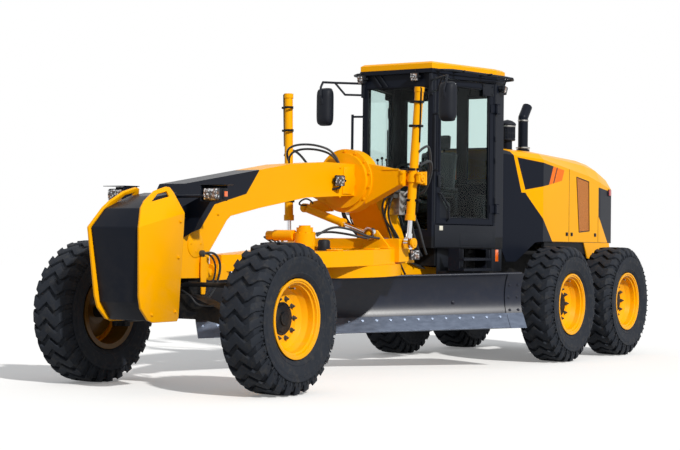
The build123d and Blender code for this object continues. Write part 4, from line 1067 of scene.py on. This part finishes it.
class GRADER_OT_blade_fittings(bpy.types.Operator):
    """End bits, edge bolts, top lip and side-shift cylinder"""
    bl_idname = "grader.blade_fittings"
    bl_label = "Blade fittings"

    def execute(self, context):
        places = (BLADE,)
        part = bmesh.new()
        bolts(part, 0.013, (0, -1, 0.36), *[(-1.36 + i * 0.158, edge_depth(0.43), 0.43) for i in range(22)])
        put("edge_bolts", "edge_steel", part, places, "moldboard", 30)

        bits, strips = bmesh.new(), bmesh.new()
        for u0, u1 in ((-1.425, -1.26), (2.045, 2.235)):
            curve = [(face_depth(z) - 0.001, z) for z in (0.452, 0.5, 0.55, 0.6, 0.65, 0.7, 0.75, 0.8, 0.85, 0.905)]
            plate(bits, 0, u0, u1 - u0, *curve, *[(y - 0.014, z) for y, z in reversed(curve)])
            top, foot = edge_depth(0.455), edge_depth(0.312)
            plate(strips, 0, u0, u1 - u0, (top, 0.455), (foot, 0.312), (foot - 0.012, 0.312), (top - 0.012, 0.455))
            for u in (u0 + 0.045, u1 - 0.045):
                bolts(bits, 0.012, (0, -1, 0), *[(u, face_depth(z) - 0.014, z) for z in (0.5, 0.64, 0.78)])
        lip = face_depth(0.908) + 0.01
        rod(bits, (-1.4, lip, 0.905), (2.21, lip, 0.905), 0.013, 16)
        block(bits, 1.425, 0.29, 0.585, 1.455, 0.425, 0.615, 0.004)
        put("blade_end_bits", "blade_paint", bits, places, "moldboard", 30)
        put("blade_end_edges", "edge_steel", strips, places, "moldboard", 30)

        line, bore, wall, gland = Vector((0, 0.4425, 0.6)), 0.019, 0.036, 0.044
        part = bmesh.new()
        turned_ring(part, [(-0.31, bore), (-0.31, gland), (-0.28, gland), (-0.28, wall), (0.34, wall), (0.34, gland),
                           (0.385, gland), (0.385, bore)], line, X_AXIS, 32)
        for u in (-0.18, 0.24):
            collar(part, u, 0.03, wall, gland, line, X_AXIS, 32)
        put("side_shift_barrel", "amber_paint", part, places, "blade_carrier")
        inner_end = 0.22    # the rod runs through its barrel, so it is never out of it
        part = drawn((rod, line + Vector((inner_end, 0, 0)), line + Vector((1.43, 0, 0)), 0.0165, 32),
                     (rod, line + Vector((1.41, 0, 0)), line + Vector((1.47, 0, 0)), 0.032, 24))
        put("side_shift_rod", "chrome", part, places, "moldboard")
        return {"FINISHED"}


def mirror_back(bm, centre, half_width, half_height, depth, cuts=14):
    """A mirror's shell: flat behind, with round corners, and a back that swells towards the front."""
    grid = bmesh.ops.create_grid(bm, x_segments=cuts, y_segments=cuts * 2, size=1.0)["verts"]
    rear = new_verts(bmesh.ops.extrude_face_region(bm, geom=list({f for v in grid for f in v.link_faces})))
    for v in grid + rear:
        u, w = v.co.x, v.co.y
        pull = 1 - 0.16 * (abs(u) * abs(w)) ** 5
        swell = 0.22 + 0.78 * math.sqrt(max(0.0, (1 - abs(u) ** 2.6) * (1 - abs(w) ** 6)))
        back = 0.0 if v in rear else -depth * swell
        v.co = Vector(centre) + Vector((u * half_width * pull, back, w * half_height * pull))


class GRADER_OT_mirrors(bpy.types.Operator):
    """Mirror heads with bulged backs on their tubular arms"""
    bl_idname = "grader.mirrors"
    bl_label = "Mirrors"

    def execute(self, context):
        part = drawn(
            (mirror_back, (0.79, 3.5, 2.8825), 0.1, 0.2125, 0.102),
            (block, 0.768, 3.394, 2.9, 0.812, 3.44, 2.97, 0.008),
            (tube, [(0.79, 3.4, 2.935), (0.79, 3.384, 3.0), (0.806, 3.41, 3.1), (0.8, 3.444, 3.158),
                    (0.69, 3.524, 3.154), (0.44, 3.718, 3.15)], 0.013),
            (tube, [(0.44, 3.718, 3.02), (0.6, 3.594, 3.022), (0.69, 3.524, 3.152)], 0.012),
            (block, 0.42, 3.704, 2.99, 0.458, 3.739, 3.234, 0.006))
        put("mirror_shapes", "mirror_plastic", part, both_sides(), replaces="mirrors")
        put("mirror_faces", "mirror_face", drawn((block, 0.706, 3.498, 2.69, 0.874, 3.503, 3.076, 0.012)), both_sides())
        return {"FINISHED"}


def seal(bm, axis, near, far, low, high, width=0.014):
    """Four strips round a window that lies across an axis: its depth, and two corners without that axis."""
    (u0, w0), (u1, w1) = low, high
    for a, b in (((u0, w0), (u0 + width, w1)), ((u1 - width, w0), (u1, w1)), ((u0, w0), (u1, w0 + width)),
                 ((u0, w1 - width), (u1, w1))):
        block(bm, *a[:axis], near, *a[axis:], *b[:axis], far, *b[axis:], 0.004, 1)


class GRADER_OT_cab_fittings(bpy.types.Operator):
    """Roof rails, lamps, wiper, gaskets and panels of the cab"""
    bl_idname = "grader.cab_fittings"
    bl_label = "Cab fittings"

    def execute(self, context):
        rail = 3.262
        bends = (0.47, 3.76), (0.56, 3.79), (0.64, 3.86), (0.79, 4.72), (0.8, 4.96), (0.74, 5.09), (0.6, 5.145), (0.0, 5.145)
        sides = drawn((tube, [(x, y, rail) for x, y in bends], 0.015))
        for x in (0.6, 0.2):
            rod(sides, (x, 4.955, rail), (x, 5.145, rail), 0.012, 16)
        for s in (0.3, 0.75):
            x, y = 0.455 + 0.2357 * s, 3.74 + 0.9718 * s
            rod(sides, (x, y, rail), (x + 0.175, y - 0.02, rail), 0.012, 16)
        blocks(sides, (0.555, 4.7, 1.05, 0.697, 4.944, 1.312, 0.014), (0.4, 3.935, 1.0, 0.42, 4.54, 1.309, 0.006),
               (0.56, 3.934, 1.195, 0.745, 3.946, 1.3, 0.004), (0.56, 4.546, 1.195, 0.745, 4.558, 1.3, 0.004),
               (0.42, 3.946, 1.0, 0.56, 4.54, 1.06, 0.006))
        for z in (1.086, 1.201):
            for y in (3.98 + n * 0.062 for n in range(9)):
                block(sides, 0.585, y, z, 0.75, y + 0.024, z + 0.006, 0.002, 1)
        walls = drawn((block, 0.0, 0.04, 1.318, 0.01, 1.046, 1.566, 0.006),
                      (block, 0.008, 0.45, 1.34, 0.013, 0.985, 1.482, 0.004))
        for s in (0.035, 1.04):
            block(walls, -0.004, s - 0.012, 1.6, 0.004, s + 0.012, 3.2, 0.003)
        for z in (1.86, 2.31, 2.56):
            block(walls, 0.0, 1.022, z - 0.03, 0.014, 1.046, z + 0.03, 0.004)
        middle = drawn(
            (seal, 1, 3.748, 3.758, (-0.4, 1.5), (0.4, 3.09)), (seal, 1, 4.932, 4.942, (-0.59, 2.05), (0.59, 3.06)),
            (block, 0.115, 4.88, 2.05, 0.265, 4.915, 3.2, 0.01),
            (tube, [(0.12, 3.735, 1.52), (0.1, 3.728, 1.56), (-0.13, 3.742, 2.22)], 0.007),
            (block, 0.08, 3.722, 1.49, 0.16, 3.742, 1.55, 0.008), (rod, (-0.13, 3.75, 1.86), (-0.13, 3.75, 2.62), 0.006),
            (block, -0.135, 3.751, 1.86, -0.125, 3.759, 2.62, 0.002, 1),
            *[(rod, (x, 3.722, 3.226), (x + 0.1, 3.722, 3.1), 0.007) for x in (-0.3, -0.22)])
        trim = bmesh.new()
        join(trim, sides, *both_sides())
        join(trim, walls, *both_sides(CAB_SIDE))
        join(trim, middle, STATION)
        finish_piece(trim, "cab_trim", "cab_trim_plastic")

        whole = bmesh.new(), bmesh.new()
        front = work_lamps([((0.26, 3.655, 3.185), (0.1, -1, -0.25), 0.046),
                            ((-0.442, 3.655, 3.185), (-0.25, -1, -0.25), 0.046)],
                           *[((x, 3.7, 3.22), (x, 3.68, 3.26), 0.01, 12) for x in (0.26, -0.442)])
        rear = work_lamps([((0.66, 5.045, 3.13), (0.45, 1, -0.3), 0.05), ((0.766, 4.86, 3.13), (1, 0.25, -0.25), 0.042)],
                          ((0.66, 5.02, 3.19), (0.66, 5.0, rail), 0.011, 12),
                          ((0.75, 4.86, 3.18), (0.78, 4.86, rail), 0.01, 12))
        for parts, places in ((front, (STATION,)), (rear, both_sides())):
            for bm, part in zip(whole, parts):
                join(bm, part, *places)
        finish_piece(whole[0], "cab_lamp_housings", "lamp_plastic")
        finish_piece(whole[1], "cab_lamp_lenses", "lamp_lens")
        put("cab_reflectors", "pale_lens", drawn((block, 0.008, 0.112, 1.506, 0.014, 0.168, 1.556, 0.003)),
            both_sides(CAB_SIDE))
        put("step_reflectors", "marker_lens", drawn((block, 0.694, 4.78, 1.165, 0.701, 4.85, 1.3, 0.003)), both_sides())

        for name, place in zip(("left", "right"), both_sides(CAB_SIDE)):
            part = drawn(
                (plate, 0, -0.018, 0.014, (0.13, 1.64), (0.31, 1.64), (0.13, 1.905)),
                (tube, [(0.0, 0.098, 1.915), (0.034, 0.11, 1.9), (0.034, 0.232, 1.765), (0.034, 0.24, 1.64),
                        (0.0, 0.24, 1.612)], 0.012),
                (block, 0.0, 0.078, 1.985, 0.022, 0.122, 2.11, 0.008),
                (block, 0.0, 0.815, 3.04, 0.006, 0.996, 3.17, 0.003),
                *[(rod, (0.006, s, z), (0.012, s, z), 0.008, 12) for s in (0.836, 0.975) for z in (3.06, 3.15)],
                (seal, 0, -0.018, -0.006, (0.132, 1.64), (0.942, 3.12)))
            put("door_trim_" + name, "cab_trim_plastic", part, (place,), "door_" + name)
        return {"FINISHED"}


class GRADER_OT_hood_fittings(bpy.types.Operator):
    """Vent frames, seams, latches, tail grille and lamps of the hood, and its stacks' collars"""
    bl_idname = "grader.hood_fittings"
    bl_label = "Hood fittings"

    def execute(self, context):
        sides = bmesh.new()
        vent = [(6.915, 1.53), (7.22, 1.55), (7.195, 2.17), (6.83, 2.215)]
        for a, b in zip(vent, vent[1:] + vent[:1]):
            rod(sides, (0.751, *a), (0.751, *b), 0.006, 8)
        for a, b in (((6.62, 1.41), (6.62, 2.3)), ((7.49, 1.41), (7.49, 1.74)), ((5.95, 1.404), (7.85, 1.404))):
            rod(sides, (0.7505, *a), (0.7505, *b), 0.0025, 6)
        for y in (6.56, 6.7, 7.4):
            blocks(sides, (0.75, y - 0.03, 1.478, 0.757, y + 0.03, 1.522, 0.006),
                   (0.756, y - 0.016, 1.494, 0.762, y + 0.016, 1.506, 0.003))
        tail = bmesh.new()
        for z in (1.46 + n * 0.043 for n in range(13)):
            box(tail, (-0.52, 7.966, z), (0.52, 7.984, z + 0.01))
        for x in (-0.53, 0.53, -0.006):
            block(tail, x - 0.012, 7.964, 1.44, x + 0.012, 7.99, 2.02, 0.004, 1)
        for z in (1.43, 2.01):
            block(tail, -0.545, 7.964, z, 0.545, 7.99, z + 0.024, 0.004, 1)
        trim = bmesh.new()
        join(trim, sides, *both_sides())
        join(trim, tail, STATION)
        finish_piece(trim, "hood_trim", "charcoal_paint", "rear_frame")
        put("tail_grille", "tail_mesh", drawn((box, (-0.52, 7.9665, 1.45), (0.52, 7.968, 2.01))), body="rear_frame")

        housings, lenses = work_lamps([((0.36, 7.995, 2.165), (0.2, 1, -0.2), 0.048)],
                                      ((0.36, 7.9, 2.16), (0.36, 7.96, 2.165), 0.014, 12))
        blocks(housings, (0.6, 7.96, 1.985, 0.704, 7.992, 2.085, 0.008), (0.716, 7.838, 2.008, 0.74, 7.926, 2.098, 0.008))
        red = drawn((block, 0.608, 7.99, 2.04, 0.696, 8.0, 2.078, 0.004),
                    (block, 0.738, 7.846, 2.016, 0.746, 7.918, 2.09, 0.004))
        amber = drawn((block, 0.608, 7.99, 1.992, 0.696, 8.0, 2.03, 0.004))
        for name, look, part in (("lamp_housings", "lamp_plastic", housings), ("work_lenses", "lamp_lens", lenses),
                                 ("red_lenses", "red_lens", red), ("amber_lenses", "marker_lens", amber)):
            put("tail_" + name, look, part, both_sides(), "rear_frame")

        x, y = 0.34, 5.74
        stack = (x, y, 0), Z_AXIS
        lid = [(2.79, 0.0), (2.79, 0.098), (2.8, 0.104), (2.812, 0.104), (2.826, 0.094), (2.85, 0.06), (2.866, 0.0)]
        part = drawn((turned_shape, lid, *stack))
        for z, r in ((2.626, 0.097), (2.7, 0.095), (2.766, 0.097), (2.5, 0.066)):
            collar(part, z, 0.008, r - 0.014, r, *stack)
        for i in range(18):
            turn = FULL_TURN * i / 18
            place = x + 0.093 * math.cos(turn), y + 0.093 * math.sin(turn)
            rod(part, (*place, 2.64), (*place, 2.76), 0.005, 6)
        put("precleaner_cap", "mirror_plastic", part, body="rear_frame")
        part = drawn((collar, 2.783, 0.007, 0.09, 0.0985, *stack))
        for z, outer in ((2.486, 0.086), (2.538, 0.086), (2.868, 0.066)):
            collar(part, z, 0.008, 0.05, outer, (0.42, 6.0, 0), Z_AXIS)
        put("stack_clamps", "bolt_steel", part, body="rear_frame", smooth=30)
        return {"FINISHED"}


def guard_place(y, z, inset=0.0):
    """A place on the folded front guard: its lower part leans in a little, its top is folded in."""
    lower = 0.300 + (z - 1.459) * 0.0612
    upper = 0.300 + (0.11 * (y + 0.993) - 0.44 * (z - 1.459)) / 0.9
    return min(lower, upper) - inset, y, z


class GRADER_OT_front_guards(bpy.types.Operator):
    """Folded guard plates with their slots, and the panel between them"""
    bl_idname = "grader.front_guards"
    bl_label = "Front guards"

    def execute(self, context):
        corners = {"a": (-0.993, 1.459), "b": (-0.888, 1.635), "c": (-0.820, 1.696), "d": (-0.664, 1.785),
                   "e": (-0.499, 1.828), "f": (-0.452, 1.822), "g": (-0.428, 1.780), "h": (-0.385, 1.594),
                   "p": (-0.736, 1.688), "q": (-0.634, 1.757), "r": (-0.505, 1.786), "s": (-0.497, 1.741),
                   "j": (-0.385, 0.660), "k": (-0.405, 0.632), "l": (-0.733, 0.629), "m": (-0.804, 0.652),
                   "n": (-0.905, 0.752), "o": (-0.938, 0.860)}
        part = bmesh.new()
        verts = {key: part.verts.new(guard_place(y, z)) for key, (y, z) in corners.items()}
        for face in ("abcp", "cdqp", "derq", "efgsr", "apsh", "ghs", "ahjklmno"):
            part.faces.new([verts[key] for key in face])
        bmesh.ops.recalc_face_normals(part, faces=part.faces)
        if sum(f.normal.x for f in part.faces) < 0:
            bmesh.ops.reverse_faces(part, faces=part.faces)
        bmesh.ops.solidify(part, geom=list(part.faces), thickness=0.026)
        soften(part, 0.005, 2, 25)
        put("guard_plates", "amber_paint", part, both_sides(), smooth=50, replaces="front_guards")

        profile = [(-0.975, 1.459), (-0.894, 0.809), (-0.768, 0.645), (-0.352, 0.645), (-0.352, 1.780), (-0.590, 1.740),
                   (-0.873, 1.625)]
        part = bmesh.new()
        left, right = ([part.verts.new((sign * x, y, z)) for x, y, z in (guard_place(*p, 0.03) for p in profile)]
                       for sign in (1, -1))
        for ring in (left, right):
            part.faces.new(ring)
        for a, b, c, d in zip(left, left[1:] + left[:1], right[1:] + right[:1], right):
            part.faces.new((a, b, c, d))
        bmesh.ops.recalc_face_normals(part, faces=part.faces)
        soften(part, 0.01, 3, 12)
        put("nose_panel", "charcoal_paint", part, smooth=50, replaces="front_panel")
        part = bmesh.new()
        heads = (-0.44, 0.72), (-0.44, 1.2), (-0.44, 1.52), (-0.76, 0.7)
        bolts(part, 0.012, X_AXIS, *[guard_place(y, z) for y, z in heads])
        put("guard_bolts", "amber_paint", part, both_sides(), smooth=30)
        return {"FINISHED"}


def bake(piece):
    """Makes a piece's modified shape its mesh and takes the modifiers off."""
    graph = bpy.context.evaluated_depsgraph_get()
    shaped = bpy.data.meshes.new_from_object(piece.evaluated_get(graph))
    piece.modifiers.clear()
    piece.data = shaped


def swollen(bm, name, most=0.010):
    """A pad of the seat: remeshed fine, blown up as cloth from inside, its movement capped at the most."""
    bmesh.ops.recalc_face_normals(bm, faces=bm.faces)
    mesh = bpy.data.meshes.new(name)
    bm.to_mesh(mesh)
    bm.free()
    pad = bpy.data.objects.new(name, mesh)
    scene = bpy.context.scene
    scene.collection.objects.link(pad)
    grid = pad.modifiers.new("grid", "REMESH")
    grid.mode, grid.voxel_size = "VOXEL", 0.008
    bake(pad)
    rest = [v.co.copy() for v in pad.data.vertices]
    cloth = pad.modifiers.new("cloth", "CLOTH")
    cloth.settings.use_pressure = True
    cloth.settings.uniform_pressure_force = 4.0
    cloth.settings.quality = 4
    cloth.settings.effector_weights.gravity = 0.0
    for number in range(1, 21):
        scene.frame_set(number)
    bake(pad)
    scene.frame_set(1)
    for v, start in zip(pad.data.vertices, rest):
        move = v.co - start
        if move.length > most:
            v.co = start + move.normalized() * most
    smooth = pad.modifiers.new("smooth", "SUBSURF")
    smooth.levels = smooth.render_levels = 1
    for face in pad.data.polygons:
        face.use_smooth = True
    pad.data.materials.append(material("seat_cloth"))
    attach(pad, "front_frame")
    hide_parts("seat")


class GRADER_OT_cab_inside(bpy.types.Operator):
    """Seat, armrests, levers, pedals and headliner inside the cab"""
    bl_idname = "grader.cab_inside"
    bl_label = "Cab inside"

    def execute(self, context):
        y = 4.42
        swollen(drawn((block, *spot(-0.24, y - 0.262, 1.716), *spot(0.24, y + 0.16, 1.838), 0.035, 3)), "seat_cushion")
        for name, size, place, lean in (
                ("seat_back", (-0.228, -0.055, 0.03, 0.228, 0.055, 0.58, 0.035, 3), (0, y + 0.2, 1.85), -0.135),
                ("seat_head", (-0.12, -0.034, 0.0, 0.12, 0.034, 0.17, 0.024, 3), (0, y + 0.3, 2.45), -0.1)):
            pad = drawn((block, *size))
            leant = Matrix.Translation(spot(*place)) @ Matrix.Rotation(lean, 4, "X")
            bmesh.ops.transform(pad, matrix=leant, verts=pad.verts)
            swollen(pad, name)

        part = drawn((block, -0.185, y - 0.175, 1.44, 0.185, y + 0.175, 1.48, 0.008),
                     (block, -0.22, y - 0.23, 1.67, 0.22, y + 0.23, 1.712, 0.012))
        for z in (1.486 + n * 0.03 for n in range(6)):
            block(part, -0.165, y - 0.155, z, 0.165, y + 0.155, z + 0.022, 0.01)
        for x in (-0.3, 0.3):
            for n in range(4):
                top = Vector((x + (n - 1.5) * 0.06, 3.965, 2.29 + 0.02 * (n % 2)))
                tube(part, [(x * 0.85, 3.96, 2.05), (x + (n - 1.5) * 0.052, 3.975, 2.12), top], 0.006, 10)
                ball(part, top + Vector((0, 0, 0.01)), 0.017, 14, 8)
            block(part, x - 0.13, 3.93, 2.02, x + 0.13, 4.03, 2.075, 0.012)
        for x in (-0.16, 0.16):
            block(part, x - 0.045, 3.8, 1.5, x + 0.045, 3.86, 1.6, 0.01)
            rod(part, (x, 3.86, 1.44), (x, 3.83, 1.52), 0.012, 12)
        blocks(part, (-0.09, 3.86, 2.06, 0.09, 3.95, 2.2, 0.02), (0.5, 4.6, 1.44, 0.64, 4.85, 1.92, 0.02),
               (-0.64, 4.5, 1.44, -0.5, 4.85, 2.02, 0.02))
        sides = drawn((rod, (0.05, y + 0.282, 2.36), (0.05, y + 0.3, 2.5), 0.009),
                      (block, 0.262, y - 0.22, 1.955, 0.332, y + 0.14, 1.995, 0.016),
                      (block, 0.272, y + 0.1, 1.7, 0.318, y + 0.17, 1.97, 0.01),
                      (rod, (0.297, y - 0.18, 1.99), (0.297, y - 0.2, 2.085), 0.009, 12),
                      (ball, (0.297, y - 0.202, 2.1), 0.022, 16, 10))
        bm = bmesh.new()
        join(bm, part, STATION)
        join(bm, sides, *both_sides())
        finish_piece(bm, "cab_controls", "control_plastic")
        put("cab_headliner", "headliner", drawn((plate, 2, 3.2, 0.03, (-0.4, 3.8), (0.4, 3.8), (0.63, 4.72), (0.63, 4.9),
                                                 (-0.63, 4.9), (-0.63, 4.72))))
        return {"FINISHED"}


# ---------------------------------------------------------------- stage

CAMERA_PLACE = (9.295, -15.152, 1.306)
CAMERA_TURN, CAMERA_RISE, CAMERA_ROLL = (math.radians(angle) for angle in (33.14, -0.79, 0.66))
CAMERA_LENS = 85.6
SUN_WAY = (-0.758, 0.369, -0.537)


def stand(name, data):
    """An object of the stage, linked to the scene."""
    made = bpy.data.objects.new(name, data)
    bpy.context.scene.collection.objects.link(made)
    return made


class GRADER_OT_stage(bpy.types.Operator):
    """Pale floor, soft light and the photograph's camera"""
    bl_idname = "grader.stage"
    bl_label = "Stage"

    def execute(self, context):
        scene = context.scene
        look = scene.grader_stage
        scene.view_settings.view_transform = "Standard"

        level = math.cos(CAMERA_RISE)
        back = Vector((math.sin(CAMERA_TURN) * level, -math.cos(CAMERA_TURN) * level, math.sin(CAMERA_RISE)))
        right = (-back).cross(Vector(Z_AXIS)).normalized()
        up = right.cross(-back)
        c, s = math.cos(CAMERA_ROLL), math.sin(CAMERA_ROLL)
        lens = bpy.data.cameras.new("photo_camera")
        lens.lens, lens.sensor_width, lens.clip_end = CAMERA_LENS, 36.0, 200.0
        scene.camera = camera = stand("photo_camera", lens)
        camera.matrix_world = Matrix((right * c + up * s, up * c - right * s, back)).transposed().to_4x4()
        camera.location = CAMERA_PLACE

        bm = bmesh.new()
        bmesh.ops.create_grid(bm, x_segments=1, y_segments=1, size=60.0)
        floor = bpy.data.meshes.new("floor")
        bm.to_mesh(floor)
        bm.free()
        f = Finish("floor")
        colour = tuple(look.floor_colour)
        pale = f.mix(f.noise(0.8), colour, shade(colour, 0.98))
        f.set(Base_Color=f.mix(f.seen(), (look.bounce,) * 3, pale), Roughness=0.9, Specular_IOR_Level=0.0,
              Emission_Color=f.mix(f.seen(), (0.0, 0.0, 0.0), (look.lift,) * 3), Emission_Strength=1.0)
        floor.materials.append(f.material)
        stand("floor", floor)

        scene.world = bpy.data.worlds.new("soft_sky")
        sky = Nodes(scene.world)
        soft = sky.node("ShaderNodeBackground", {}, {0: (0.94, 0.97, 1.0), 1: look.sky})
        white = sky.node("ShaderNodeBackground", {}, {0: (1.0, 1.0, 1.0), 1: 1.0})
        mixed = sky.node("ShaderNodeMixShader", {}, {0: sky.seen(), 1: soft, 2: white})
        sky.node("ShaderNodeOutputWorld", {}, {0: mixed})

        sun = bpy.data.lights.new("key", "SUN")
        sun.energy, sun.angle, sun.color = look.key, math.radians(2), (1.0, 0.98, 0.94)
        stand("key", sun).rotation_euler = Vector(SUN_WAY).to_track_quat("-Z", "Y").to_euler()
        return {"FINISHED"}


# ---------------------------------------------------------------- panel and registration

class GRADER_PT_panel(bpy.types.Panel):
    """Lists the grader's sizes and its pieces"""
    bl_label = "Motor grader"
    bl_space_type = "VIEW_3D"
    bl_region_type = "UI"
    bl_category = "Grader"

    def draw(self, context):
        for group in (context.scene.grader_wheels, context.scene.grader_stage):
            for key in group.bl_rna.properties.keys():
                if key not in ("rna_type", "name"):
                    self.layout.prop(group, key)
        for each in OPERATORS:
            self.layout.operator(each.bl_idname)


OPERATORS = (GRADER_OT_paint, GRADER_OT_tyres, GRADER_OT_wheel_fittings, GRADER_OT_front_lamps,
             GRADER_OT_gooseneck, GRADER_OT_hydraulics, GRADER_OT_hoses, GRADER_OT_saddle_fittings,
             GRADER_OT_drawbar_fittings, GRADER_OT_blade_fittings, GRADER_OT_mirrors, GRADER_OT_cab_fittings,
             GRADER_OT_hood_fittings, GRADER_OT_front_guards, GRADER_OT_cab_inside, GRADER_OT_stage)
CLASSES = (GraderWheels, GraderStage, *OPERATORS, GRADER_PT_panel)


def register():
    for each in CLASSES:
        bpy.utils.register_class(each)
    bpy.types.Scene.grader_wheels = bpy.props.PointerProperty(type=GraderWheels)
    bpy.types.Scene.grader_stage = bpy.props.PointerProperty(type=GraderStage)


def unregister():
    del bpy.types.Scene.grader_wheels
    del bpy.types.Scene.grader_stage
    for each in reversed(CLASSES):
        bpy.utils.unregister_class(each)


def main():
    register()
    for each in OPERATORS:
        group, name = each.bl_idname.split(".")
        getattr(getattr(bpy.ops, group), name)()


if __name__ == "__main__":
    main()
